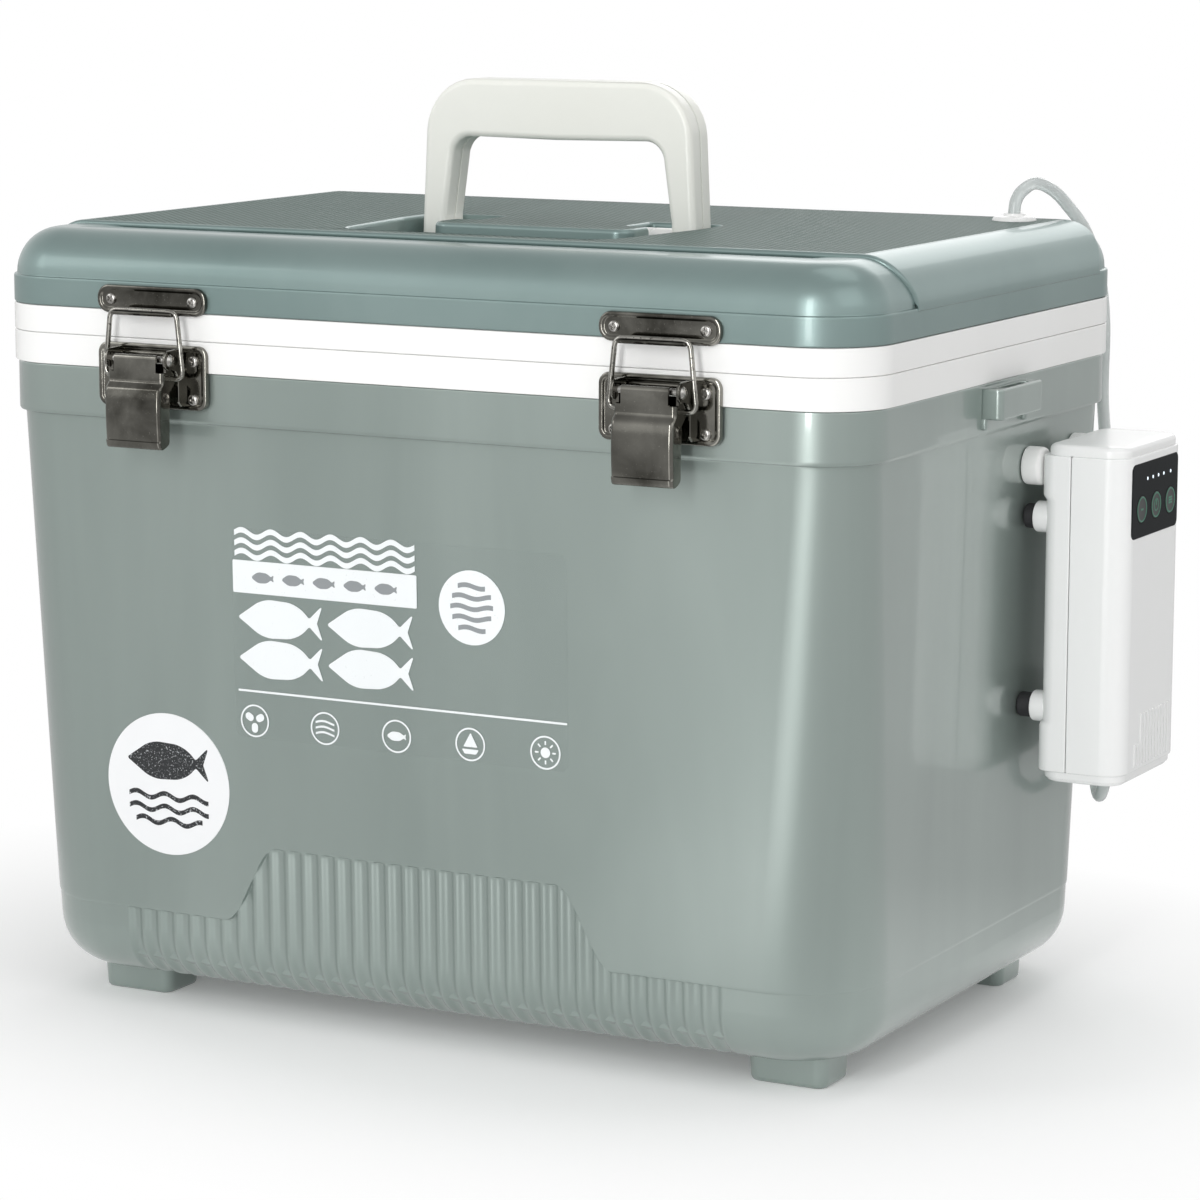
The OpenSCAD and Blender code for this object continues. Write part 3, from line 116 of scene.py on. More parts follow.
@dataclass(frozen=True)
class Outline:
    """A closed flat outline, counter-clockwise, whose corners (x, y, radius) are rounded."""

    corners: tuple[tuple[float, float, float], ...]
    steps: int = 6

    @classmethod
    def centred(cls, half_x: float, half_y: float, r: float, steps: int = 8) -> "Outline":
        """A rectangle round the origin with equal corners."""
        return cls.box(-half_x, half_x, -half_y, half_y, r, steps)

    @classmethod
    def box(cls, x0: float, x1: float, y0: float, y1: float, r: float, steps: int = 6) -> "Outline":
        """A rectangle between two corners, with equal rounding."""
        return cls(((x0, y0, r), (x1, y0, r), (x1, y1, r), (x0, y1, r)), steps)

    @classmethod
    def circle(cls, r: float, steps: int) -> "Outline":
        """A circle round the origin."""
        return cls.centred(r, r, r - 0.01, steps)

    def grown(self, by: float) -> "Outline":
        """Moves the outline outwards everywhere, or inwards where by is below zero.

        Args:
            by: distance in millimetres.

        Returns:
            A new outline with the same number of corners and steps.
        """
        made = []
        count = len(self.corners)
        for i, (x, y, r) in enumerate(self.corners):
            before, after = self.corners[i - 1], self.corners[(i + 1) % count]
            a = Vector((x - before[0], y - before[1])).normalized()
            b = Vector((after[0] - x, after[1] - y)).normalized()
            na, nb = Vector((a.y, -a.x)), Vector((b.y, -b.x))
            move = (na + nb) / (1 + na.dot(nb)) * by
            convex = a.x * b.y - a.y * b.x > 0
            made.append((x + move.x, y + move.y, max(r + by if convex else r - by, 0.02)))
        return Outline(tuple(made), self.steps)

    def ring(self, z: float) -> Ring:
        """Rounds the corners with a vertex bevel and returns the points in order at height z."""
        bm = bmesh.new()
        verts = [bm.verts.new((x, y, z)) for x, y, _ in self.corners]
        bm.faces.new(verts)
        groups: dict[float, list[bmesh.types.BMVert]] = {}
        count = len(self.corners)
        for i, (x, y, r) in enumerate(self.corners):
            before, after = self.corners[i - 1], self.corners[(i + 1) % count]
            a = Vector((x - before[0], y - before[1]))
            b = Vector((after[0] - x, after[1] - y))
            reach = r * math.tan(max(a.angle(b), 0.02) / 2)
            groups.setdefault(round(reach, 4), []).append(verts[i])
        for reach, chosen in groups.items():
            bmesh.ops.bevel(bm, geom=chosen, offset=max(reach, 0.005), offset_type="OFFSET",
                            segments=self.steps, profile=0.5, affect="VERTICES", material=-1)
        bm.faces.ensure_lookup_table()
        points = [v.co.copy() for v in bm.faces[0].verts]
        bm.free()
        (x, y, _), (next_x, next_y, _) = self.corners[:2]
        return from_corner(points, Vector((x, y)), Vector((next_x, next_y)))


def from_corner(points: Ring, corner: Vector, following: Vector) -> Ring:
    """Turns a ring's list so that it starts at the point nearest to a corner.

    Args:
        points: the ring.
        corner: the corner in plan.
        following: the next corner, towards which a tie is decided.

    Returns:
        The same ring from that point on.
    """
    aim = corner + (following - corner).normalized() * 0.01
    start = min(range(len(points)), key=lambda i: (points[i].xy - aim).length)
    return points[start:] + points[:start]


def rim_ring(inset: float, z: float) -> Ring:
    """A ring inside the rim that tub and lid share, at a height."""
    return Outline.centred(RIM[0] - inset, RIM[1] - inset, max(RIM_R - inset, 1.5), 12).ring(z)


class Form:
    """A mesh being formed with mesh operators, in millimetres round the tub's middle."""

    def __init__(self) -> None:
        self.bm = bmesh.new()

    def loft(self, rings: Sequence[Ring], low: bool = True, high: bool = True,
             round_trip: bool = False, closed: bool = True) -> list[list[bmesh.types.BMEdge]]:
        """Extrudes the first ring from each ring to the next, all with the same number of points.

        Args:
            rings: the rings in order.
            low: whether the first ring is filled.
            high: whether the last ring is filled.
            round_trip: whether the last ring is joined to the first instead.
            closed: False where each ring is an open line.

        Returns:
            The edges of each ring.
        """
        verts = [self.bm.verts.new(p) for p in rings[0]]
        pairs = zip(verts, verts[1:] + verts[:1] if closed else verts[1:])
        loops = [[self.bm.edges.new(pair) for pair in pairs]]
        for ring in list(rings[1:]) + ([rings[0]] if round_trip else []):
            made = bmesh.ops.extrude_edge_only(self.bm, edges=loops[-1])["geom"]
            fresh = {v for v in made if isinstance(v, bmesh.types.BMVert)}
            verts = [next(e.other_vert(v) for e in v.link_edges if e.other_vert(v) in fresh) for v in verts]
            for vert, point in zip(verts, ring):
                vert.co = point
            loops.append([e for e in made if isinstance(e, bmesh.types.BMEdge)
                          and e.verts[0] in fresh and e.verts[1] in fresh])
        for wanted, loop in ((low, loops[0]), (high, loops[-1])):
            if wanted and closed and not round_trip:
                bmesh.ops.edgeloop_fill(self.bm, edges=loop)
        return loops

    def lofted(self, rings: Sequence[Ring], **ends: bool) -> "Form":
        """Lofts the rings and returns the form."""
        self.loft(rings, **ends)
        return self

    def stack(self, outline: Outline, levels: Iterable[tuple[float, float]]) -> "Form":
        """Lofts one outline through (growth, height) levels and returns the form."""
        return self.lofted([outline.grown(by).ring(z) for by, z in levels])

    def turned(self, profile: Sequence[tuple[float, float]], steps: int = 32) -> "Form":
        """Spins a profile of (radius, height) round the local z axis and returns the form."""
        verts = [self.bm.verts.new((r, 0.0, z)) for r, z in profile]
        edges = [self.bm.edges.new(pair) for pair in zip(verts, verts[1:])]
        bmesh.ops.spin(self.bm, geom=verts + edges, cent=(0, 0, 0), axis=(0, 0, 1), dvec=(0, 0, 0),
                       angle=math.tau, steps=steps, use_merge=True, use_duplicate=False)
        bmesh.ops.remove_doubles(self.bm, verts=self.bm.verts, dist=1e-4)
        return self

    def block(self, low: Sequence[float], high: Sequence[float], edge: float, segments: int = 3) -> "Form":
        """Adds a block between two corners with rounded edges and returns the form."""
        made = bmesh.ops.create_cube(self.bm, size=1.0)["verts"]
        size = [h - l for l, h in zip(low, high)]
        middle = [(h + l) / 2 for l, h in zip(low, high)]
        bmesh.ops.transform(self.bm, verts=made,
                            matrix=Matrix.Translation(middle) @ Matrix.Diagonal((*size, 1.0)))
        edges = list({e for v in made for e in v.link_edges})
        bmesh.ops.bevel(self.bm, geom=edges, offset=edge, offset_type="OFFSET", segments=segments,
                        profile=0.5, affect="EDGES", material=-1)
        return self

    def add(self, other: "Form", place: Matrix = Matrix.Identity(4)) -> "Form":
        """Takes in another form's mesh at a place and returns this one."""
        mesh = bpy.data.meshes.new("joined")
        other.bm.to_mesh(mesh)
        mesh.transform(place)
        self.bm.from_mesh(mesh)
        bpy.data.meshes.remove(mesh)
        return self

    def moved(self, place: Matrix) -> "Form":
        """Moves the whole form and returns it."""
        bmesh.ops.transform(self.bm, matrix=place, verts=self.bm.verts)
        return self

    def paint(self, index: int, test: Callable[[bmesh.types.BMFace], bool] = lambda face: True) -> "Form":
        """Gives the faces that pass a test another material index and returns the form."""
        self.bm.normal_update()
        for face in self.bm.faces:
            if test(face):
                face.material_index = index
        return self

    def piece(self, name: str, *looks: str, sharp: float = 38.0) -> bpy.types.Object:
        """Makes the Blender object, in metres in the object's frame.

        Args:
            name: the piece's name.
            looks: its finishes, in the order of the material indices.
            sharp: angle in degrees above which an edge is shaded sharp.

        Returns:
            The new object, its place in its mesh.
        """
        bmesh.ops.remove_doubles(self.bm, verts=self.bm.verts, dist=2e-4)
        bmesh.ops.recalc_face_normals(self.bm, faces=self.bm.faces)
        bmesh.ops.transform(self.bm, matrix=IN_METRES, verts=self.bm.verts)
        mesh = bpy.data.meshes.new(name)
        self.bm.to_mesh(mesh)
        self.bm.free()
        mesh.shade_smooth()
        mesh.set_sharp_from_angle(angle=math.radians(sharp))
        for look in looks:
            mesh.materials.append(PAINT[look])
        obj = bpy.data.objects.new(name, mesh)
        bpy.context.scene.collection.objects.link(obj)
        return obj

    def dressed(self, name: str, body: str, node: str, look: str, sharp: float = 42.0,
                slot: str = "") -> None:
        """Makes the piece that stands for a node, with flat faces shaded flat.

        Args:
            name: the piece's name.
            body: the body that it rides on.
            node: the node that it replaces.
            look: its finish.
            sharp: angle in degrees above which an edge is shaded sharp.
            slot: its material slot, where that isn't its finish; not used.
        """
        settle(weighted(self.piece(name, look, sharp=sharp)), body, slot or look, node)


def carve(obj: bpy.types.Object, cutter: Form) -> None:
    """Cuts a form's volume out of an object for good.

    Args:
        obj: the object that is cut.
        cutter: the volume, in millimetres round the tub's middle.
    """
    tool = cutter.piece("cutter")
    modifier = obj.modifiers.new("cut", "BOOLEAN")
    modifier.operation, modifier.solver, modifier.object = "DIFFERENCE", "EXACT", tool
    graph = bpy.context.evaluated_depsgraph_get()
    mesh = bpy.data.meshes.new_from_object(obj.evaluated_get(graph))
    mesh.name = obj.name
    obj.modifiers.clear()
    obj.data = mesh
    mesh.set_sharp_from_angle(angle=math.radians(38))
    bpy.data.objects.remove(tool)


def weighted(obj: bpy.types.Object) -> bpy.types.Object:
    """Adds normals weighted by face area, so that flat faces look flat, and returns the object."""
    modifier = obj.modifiers.new("normals", "WEIGHTED_NORMAL")
    modifier.keep_sharp = True
    return obj


def settle(obj: bpy.types.Object, body: str, slot: str, *nodes: str) -> bpy.types.Object:
    """Lets a piece ride on a body, hides the nodes that it stands for, and returns it."""
    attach(obj, body)
    if nodes:
        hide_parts(*nodes)
    return obj


def smooth_route(points: Sequence[Sequence[float]], steps: int = 6) -> list[Vector]:
    """Points on the smooth curve through a route, in metres in the object's frame.

    Args:
        points: the route in millimetres round the tub's middle.
        steps: pieces between two points.

    Returns:
        The points in order.
    """
    p = [IN_METRES @ Vector(q) for q in points]
    made = []
    for i in range(len(p) - 1):
        a, b, c, d = p[max(i - 1, 0)], p[i], p[i + 1], p[min(i + 2, len(p) - 1)]
        for t in (k / steps for k in range(steps)):
            made.append(0.5 * (2 * b + (c - a) * t + (2 * a - 5 * b + 4 * c - d) * t * t
                               + (3 * b - a - 3 * c + d) * t ** 3))
    return made + [p[-1]]


def rounded_path(points: Sequence[Sequence[float]], r: float, steps: int = 6) -> list[Vector]:
    """A bent wire's line in millimetres: straight runs with a rounded bend at each inner point."""
    p = [Vector(q) for q in points]
    made = [p[0]]
    for before, here, after in zip(p, p[1:], p[2:]):
        a = here + (before - here).normalized() * r
        b = here + (after - here).normalized() * r
        made += [(1 - t) ** 2 * a + 2 * t * (1 - t) * here + t * t * b
                 for t in (k / steps for k in range(steps + 1))]
    return made + [p[-1]]


def wire(name: str, points: Sequence[Vector], radius: float, look: str) -> bpy.types.Object:
    """Makes a closed round wire or tube along a line, as a mesh piece.

    Args:
        name: the piece's name.
        points: the line, in metres in the object's frame.
        radius: in millimetres.
        look: its finish.

    Returns:
        The mesh object.
    """
    curve = bpy.data.curves.new(name + "_line", "CURVE")
    curve.dimensions, curve.use_fill_caps = "3D", True
    curve.bevel_depth, curve.bevel_resolution = radius * MM, 4
    spline = curve.splines.new("POLY")
    spline.points.add(len(points) - 1)
    for slot, point in zip(spline.points, points):
        slot.co = (*point, 1.0)
    curve.materials.append(PAINT[look])
    line = bpy.data.objects.new(name + "_line", curve)
    bpy.context.scene.collection.objects.link(line)
    graph = bpy.context.evaluated_depsgraph_get()
    mesh = bpy.data.meshes.new_from_object(line.evaluated_get(graph))
    bpy.data.objects.remove(line)
    bm = bmesh.new()
    bm.from_mesh(mesh)
    bmesh.ops.remove_doubles(bm, verts=bm.verts, dist=1e-6)
    bmesh.ops.recalc_face_normals(bm, faces=bm.faces)
    bm.to_mesh(mesh)
    bm.free()
    mesh.shade_smooth()
    mesh.set_sharp_from_angle(angle=math.radians(50))
    obj = bpy.data.objects.new(name, mesh)
    bpy.context.scene.collection.objects.link(obj)
    return obj


# ---------------------------------------------------------------- finishes


class Nodes:
    """Short ways to build a node tree."""

    def __init__(self, tree: bpy.types.NodeTree) -> None:
        self.tree = tree

    def feed(self, socket: bpy.types.NodeSocket, value: object) -> None:
        """Links an input to a socket, or gives it a plain value."""
        if isinstance(value, bpy.types.NodeSocket):
            self.tree.links.new(value, socket)
        else:
            socket.default_value = value

    def add(self, kind: str, inputs: dict | None = None, **settings: object) -> bpy.types.Node:
        """Adds a node.

        Args:
            kind: the node type without its ShaderNode beginning.
            inputs: socket name or number to a value or to a socket that feeds it.
            settings: plain settings of the node.

        Returns:
            The node.
        """
        node = self.tree.nodes.new("ShaderNode" + kind)
        for key, value in settings.items():
            setattr(node, key, value)
        for key, value in (inputs or {}).items():
            self.feed(node.inputs[key], value)
        return node

    def math(self, operation: str, a: object, b: object = 0.0) -> bpy.types.NodeSocket:
        """One Math node's result."""
        return self.add("Math", {0: a, 1: b}, operation=operation).outputs[0]

    def blend(self, amount: object, a: object, b: object) -> bpy.types.NodeSocket:
        """A colour between a and b, each a socket or a plain colour."""
        a, b = (c if isinstance(c, bpy.types.NodeSocket) else (*c, 1.0) for c in (a, b))
        return self.add("Mix", {0: amount, 6: a, 7: b}, data_type="RGBA").outputs[2]

    def span(self, value: object, low: float, high: float, from_low: object = 0.0,
             from_high: object = 1.0) -> bpy.types.NodeSocket:
        """A value carried from one range to another."""
        return self.add("MapRange", {0: value, 1: from_low, 2: from_high, 3: low, 4: high}).outputs[0]

    def noise(self, point: object, scale: object, detail: float, roughness: float = 0.5,
              distortion: float = 0.0) -> bpy.types.NodeSocket:
        """A noise texture's value."""
        return self.add("TexNoise", {"Vector": point, "Scale": scale, "Detail": detail,
                                     "Roughness": roughness, "Distortion": distortion}).outputs[0]

    def effect(self, tree: bpy.types.NodeTree, *values: object) -> bpy.types.NodeSocket:
        """A shared effect's value, from its inputs in order."""
        node = self.add("Group", node_tree=tree)
        for socket, value in zip(node.inputs, values):
            self.feed(socket, value)
        return node.outputs[0]

    def relief(self, height: object, depth: float, under: object | None = None) -> bpy.types.NodeSocket:
        """A bump of a depth in metres, on top of another if given."""
        given = {"Strength": 1.0, "Distance": depth, "Height": height}
        return self.add("Bump", given | ({} if under is None else {"Normal": under})).outputs[0]


def node_group(name: str, values: dict[str, float], output: str,
               build: Callable[[Nodes, Sockets], bpy.types.NodeSocket]) -> bpy.types.NodeTree:
    """Builds a shader group with a Vector input, named values and one output.

    Args:
        name: the group's name.
        values: name and default of each value.
        output: the output's name.
        build: makes the output's value, given the nodes and the group's inputs.

    Returns:
        The group.
    """
    tree = bpy.data.node_groups.new(name, "ShaderNodeTree")
    tree.interface.new_socket("Vector", in_out="INPUT", socket_type="NodeSocketVector")
    for title, default in values.items():
        socket = tree.interface.new_socket(title, in_out="INPUT", socket_type="NodeSocketFloat")
        socket.default_value = default
    tree.interface.new_socket(output, in_out="OUTPUT", socket_type="NodeSocketFloat")
    given, out = tree.nodes.new("NodeGroupInput"), tree.nodes.new("NodeGroupOutput")
    tree.links.new(build(Nodes(tree), given.outputs), out.inputs[output])
    return tree


class Effects:
    """The effects that several finishes share, each one a node group built once."""

    def __init__(self) -> None:
        self.grain = node_group("fine_grain", {"Scale": 900.0}, "Height", self._grain)
        self.flow = node_group("flow_marks", {"Scale": 9.0, "Stretch": 5.0}, "Mask", self._flow)
        self.specks = node_group("specks", {"Scale": 400.0, "Cover": 0.3}, "Mask", self._specks)
        self.brushed = node_group("brushed_lines", {"Scale": 300.0}, "Height", self._brushed)

    @staticmethod
    def _grain(n: Nodes, given: Sockets) -> bpy.types.NodeSocket:
        """Two sizes of noise, as a moulded surface has."""
        fine = n.noise(given["Vector"], given["Scale"], 3.0, 0.6)
        broad = n.noise(given["Vector"], n.math("MULTIPLY", given["Scale"], 0.13), 2.0)
        return n.math("ADD", n.math("MULTIPLY", fine, 0.6), n.math("MULTIPLY", broad, 0.4))

    @staticmethod
    def _flow(n: Nodes, given: Sockets) -> bpy.types.NodeSocket:
        """Soft marks drawn out along z, as a melt leaves in its mould; on the latch steel the same marks
        paint lighter reflection patches.
        """
        shape = n.add("CombineXYZ", {0: 1.0, 1: 1.0, 2: n.math("DIVIDE", 1.0, given["Stretch"])})
        point = n.add("VectorMath", {0: given["Vector"], 1: shape.outputs[0]}, operation="MULTIPLY")
        return n.span(n.noise(point.outputs[0], given["Scale"], 4.0, 0.55, 0.5), 0.0, 1.0, 0.3, 0.7)

    @staticmethod
    def _specks(n: Nodes, given: Sockets) -> bpy.types.NodeSocket:
        """Small scattered specks; on the latch steel they are painted glints."""
        low = n.math("SUBTRACT", 0.72, n.math("MULTIPLY", given["Cover"], 0.4))
        noise = n.noise(given["Vector"], given["Scale"], 2.0, 0.7)
        return n.span(noise, 0.0, 1.0, low, n.math("ADD", low, 0.1))

    @staticmethod
    def _brushed(n: Nodes, given: Sockets) -> bpy.types.NodeSocket:
        """Fine lines along x."""
        point = n.add("VectorMath", {0: given["Vector"], 1: (0.04, 1.0, 1.0)}, operation="MULTIPLY")
        return n.noise(point.outputs[0], given["Scale"], 4.0, 0.7)


EFFECTS = Effects()


@dataclass(frozen=True)
class Finish:
    """A moulded, turned or pressed surface: colour, gloss, grain and wear; on the latch steel the colour, its
    patches and its specks are painted reflection.
    """

    name: str
    colour: Colour
    roughness: float = 0.35
    metallic: float = 0.0
    coat: float = 0.0
    tint: Colour | None = None
    flow_scale: float = 9.0
    flow_stretch: float = 5.0
    grain_scale: float = 900.0
    grain_depth: float = 0.00004
    gloss_change: float = 0.06
    speck_colour: Colour | None = None
    speck_scale: float = 400.0
    speck_cover: float = 0.3
    see_through: float = 0.0
    alpha: float = 1.0
    specular: float = 0.5
    ior: float = 1.5
    coat_roughness: float = 0.05

    def start(self) -> tuple[bpy.types.Material, Nodes, bpy.types.Node, bpy.types.NodeSocket]:
        """Makes the material with its shader, colour and roughness.

        Returns:
            The material, its nodes, the shader and the object coordinates.
        """
        material = bpy.data.materials.new(self.name)
        material.use_nodes = True
        material.diffuse_color = (*self.colour, 1.0)
        material.node_tree.nodes.clear()
        n = Nodes(material.node_tree)
        place = n.add("TexCoord").outputs["Object"]
        flow = n.effect(EFFECTS.flow, place, self.flow_scale, self.flow_stretch)
        grain = n.effect(EFFECTS.grain, place, self.grain_scale)
        tint = self.tint or tuple(min(c * 1.06 + 0.004, 1.0) for c in self.colour)
        colour = n.blend(flow, self.colour, tint)
        if self.speck_colour:
            specks = n.effect(EFFECTS.specks, place, self.speck_scale, self.speck_cover)
            colour = n.blend(specks, colour, self.speck_colour)
        change = self.gloss_change / 2
        gloss = n.span(n.math("ADD", flow, grain), self.roughness - change, self.roughness + change, 0.0, 2.0)
        shader = n.add("BsdfPrincipled", {
            "Base Color": colour, "Roughness": gloss, "Metallic": self.metallic, "Coat Weight": self.coat,
            "Coat Roughness": self.coat_roughness, "Transmission Weight": self.see_through,
            "Alpha": self.alpha, "Specular IOR Level": self.specular, "IOR": self.ior,
            "Normal": n.relief(grain, self.grain_depth)})
        n.tree.links.new(shader.outputs[0], n.add("OutputMaterial").inputs[0])
        return material, n, shader, place

    def build(self) -> bpy.types.Material:
        """Builds the material."""
        return self.start()[0]


@dataclass(frozen=True)
class Knurled(Finish):
    """A moulded surface with a field of small raised diamonds, the grooves between them darkened with painted
    shade.
    """

    pitch: float = 0.0032
    depth: float = 0.0005
    # colour of the painted shade in the grooves between the diamonds
    groove_shade: Colour = (0.1, 0.1, 0.1)

    def build(self) -> bpy.types.Material:
        """Builds the material, the diamonds drawn in the x-y plane."""
        material, n, shader, place = self.start()
        xyz = n.add("SeparateXYZ", {0: place})
        waves = []
        for way in ("ADD", "SUBTRACT"):
            run = n.math(way, xyz.outputs[0], xyz.outputs[1])
            step = n.math("FRACT", n.math("DIVIDE", run, self.pitch * 1.414))
            fold = n.math("ABSOLUTE", n.math("SUBTRACT", n.math("MULTIPLY", step, 2.0), 1.0))
            waves.append(n.math("SUBTRACT", 1.0, fold))
        height = n.math("MINIMUM", n.math("MINIMUM", *waves), 0.8)
        base, normal = shader.inputs["Base Color"], shader.inputs["Normal"]
        # painted shade: the grooves between the diamonds take a darker colour than their tops
        unshaded_tops = n.span(height, 0.0, 1.0, 0.1, 0.6)
        n.feed(base, n.blend(unshaded_tops, self.groove_shade, base.links[0].from_socket))
        n.feed(normal, n.relief(height, self.depth, normal.links[0].from_socket))
        return material


@dataclass(frozen=True)
class Brushed(Finish):
    """Metal with fine drawn lines."""

    line_scale: float = 900.0
    line_depth: float = 0.00003

    def build(self) -> bpy.types.Material:
        """Builds the material."""
        material, n, shader, place = self.start()
        lines = n.effect(EFFECTS.brushed, place, self.line_scale)
        normal = shader.inputs["Normal"]
        n.feed(normal, n.relief(lines, self.line_depth, normal.links[0].from_socket))
        return material


@dataclass(frozen=True)
class Lamp(Finish):
    """A small clear dome lit from within."""

    glow: float = 1.0

    def build(self) -> bpy.types.Material:
        """Builds the material."""
        material, n, shader, _ = self.start()
        n.feed(shader.inputs["Emission Color"], (*self.colour, 1.0))
        n.feed(shader.inputs["Emission Strength"], self.glow)
        return material


PEARL: Colour = (0.270, 0.325, 0.303)
PEARL_LIGHT: Colour = (0.330, 0.388, 0.364)
TEAL: Colour = (0.200, 0.278, 0.268)
TEAL_LIGHT: Colour = (0.250, 0.330, 0.320)


@dataclass
class Palette:
    """Every material of the scene, by the name of its slot or use."""

    finishes: tuple[Finish, ...] = (
        Finish("tub_plastic", PEARL, 0.34, metallic=0.55, coat=1.0, tint=PEARL_LIGHT, flow_scale=11.0,
               flow_stretch=7.0, grain_scale=1400.0, grain_depth=0.00001, gloss_change=0.08),
        Finish("lid_plastic", TEAL, 0.34, metallic=0.5, coat=0.3, tint=TEAL_LIGHT, flow_scale=9.0,
               flow_stretch=1.5, grain_scale=1400.0, grain_depth=0.00001, gloss_change=0.08, ior=1.35),
        # the panel's grooves get painted shade, darker than the diamonds' tops
        Knurled("lid_panel_plastic", (0.20, 0.262, 0.243), 0.5, tint=(0.235, 0.30, 0.28), ior=1.15,
                flow_scale=9.0, flow_stretch=1.5, grain_scale=1400.0, grain_depth=0.00001,
                groove_shade=(0.10, 0.137, 0.126)),
        Finish("liner_plastic", (0.90, 0.90, 0.885), 0.22, coat=0.2, tint=(0.92, 0.92, 0.91),
               grain_scale=1200.0, grain_depth=0.00001),
        Finish("foam", (0.80, 0.69, 0.38), 0.9, tint=(0.85, 0.75, 0.47), speck_colour=(0.66, 0.55, 0.28),
               speck_scale=700.0, speck_cover=0.4, grain_scale=500.0, grain_depth=0.0006),
        Finish("sticker", (0.86, 0.87, 0.88), 0.25, coat=0.4, grain_scale=2500.0, grain_depth=0.000004),
        Finish("clear_film", (0.40, 0.46, 0.44), 0.3, specular=0.1, alpha=0.06, grain_scale=300.0,
               grain_depth=0.000002),
        Finish("print_white", (0.84, 0.87, 0.88), 0.3, speck_colour=(0.62, 0.67, 0.66), speck_scale=900.0,
               speck_cover=0.12, grain_scale=2000.0, grain_depth=0.000004),
        Finish("print_grey", (0.27, 0.29, 0.30), 0.35, grain_scale=2000.0, grain_depth=0.000004),
        Finish("print_black", (0.018, 0.020, 0.022), 0.35, speck_colour=(0.55, 0.57, 0.58),
               speck_scale=1100.0, speck_cover=0.34, grain_scale=2000.0, grain_depth=0.000004),
        Finish("gasket_rubber", (0.15, 0.16, 0.155), 0.6, speck_colour=(0.22, 0.23, 0.225)),
        Finish("white_plastic", (0.885, 0.885, 0.875), 0.28, coat=0.15),
        Finish("handle_plastic", (0.875, 0.88, 0.82), 0.3, coat=0.15, tint=(0.90, 0.905, 0.85),
               flow_stretch=1.5, grain_scale=1100.0, grain_depth=0.00003),
        Brushed("pin_steel", (0.52, 0.52, 0.51), 0.25, metallic=1.0, line_scale=700.0),
        # the latch steel's very dark base colour is painted dark reflection, and its lighter patches and
        # specks are painted bright reflection
        Finish("latch_steel", (0.055, 0.053, 0.045), 0.08, metallic=1.0, tint=(0.30, 0.293, 0.263),
               flow_scale=30.0, flow_stretch=1.0, speck_colour=(0.36, 0.35, 0.32), speck_scale=1500.0,
               speck_cover=0.16, grain_scale=1500.0, grain_depth=0.00002, gloss_change=0.12),
        Finish("wire_steel", (0.22, 0.215, 0.195), 0.10, metallic=1.0, tint=(0.42, 0.41, 0.38),
               flow_scale=120.0, flow_stretch=1.0, speck_colour=(0.05, 0.048, 0.043), speck_scale=600.0,
               speck_cover=0.3, grain_scale=1500.0, grain_depth=0.00002),
        Finish("screw_steel", (0.34, 0.33, 0.31), 0.16, metallic=1.0, tint=(0.48, 0.47, 0.45),
               flow_scale=200.0, flow_stretch=1.0, grain_scale=2000.0, grain_depth=0.00001),
        Brushed("hinge_steel", (0.36, 0.35, 0.335), 0.28, metallic=1.0, tint=(0.45, 0.44, 0.42)),
        Finish("pump_plastic", (0.885, 0.89, 0.885), 0.25, coat=0.2, tint=(0.905, 0.91, 0.905),
               grain_scale=1300.0, grain_depth=0.000015),
        Finish("panel_black", (0.007, 0.009, 0.010), 0.22, ior=1.1, grain_scale=600.0, grain_depth=0.000005),
        Finish("button_rubber", (0.016, 0.020, 0.019), 0.4, grain_scale=1500.0, grain_depth=0.00003),
        Finish("button_ring", (0.035, 0.19, 0.115), 0.35, speck_colour=(0.02, 0.07, 0.05),
               speck_scale=1500.0),
        Lamp("light_lens", (0.78, 0.88, 0.98), 0.15, coat=0.5, glow=0.8),
        Finish("circuit_board", (0.020, 0.115, 0.058), 0.3, coat=0.4, speck_colour=(0.50, 0.44, 0.26),
               speck_scale=700.0, speck_cover=0.12),
        Finish("battery_wrap", (0.045, 0.15, 0.42), 0.3, coat=0.3, flow_scale=30.0),
        Finish("pump_motor", (0.075, 0.083, 0.088), 0.5, speck_colour=(0.12, 0.13, 0.135)),
        Finish("hose_rubber", (0.72, 0.755, 0.74), 0.4),
        Finish("outlet_plastic", (0.76, 0.77, 0.765), 0.35),
        Finish("bumper_rubber", (0.018, 0.018, 0.02), 0.65, grain_scale=700.0, grain_depth=0.0001),
        Finish("tube_pvc", (0.74, 0.79, 0.78), 0.22, coat=0.3, tint=(0.80, 0.84, 0.83), flow_scale=25.0,
               see_through=0.45, grain_scale=800.0, grain_depth=0.00001),
        Finish("air_stone", (0.085, 0.20, 0.34), 0.85, speck_colour=(0.04, 0.10, 0.18), speck_scale=1000.0,
               speck_cover=0.55, grain_scale=900.0, grain_depth=0.0008),
    )
    made: dict[str, bpy.types.Material] = field(default_factory=dict)

    def __getitem__(self, name: str) -> bpy.types.Material:
        """The material of that name, built when first asked for."""
        if name not in self.made:
            self.made[name] = next(f for f in self.finishes if f.name == name).build()
        return self.made[name]


PAINT = Palette()


# ---------------------------------------------------------------- camera, floor, light


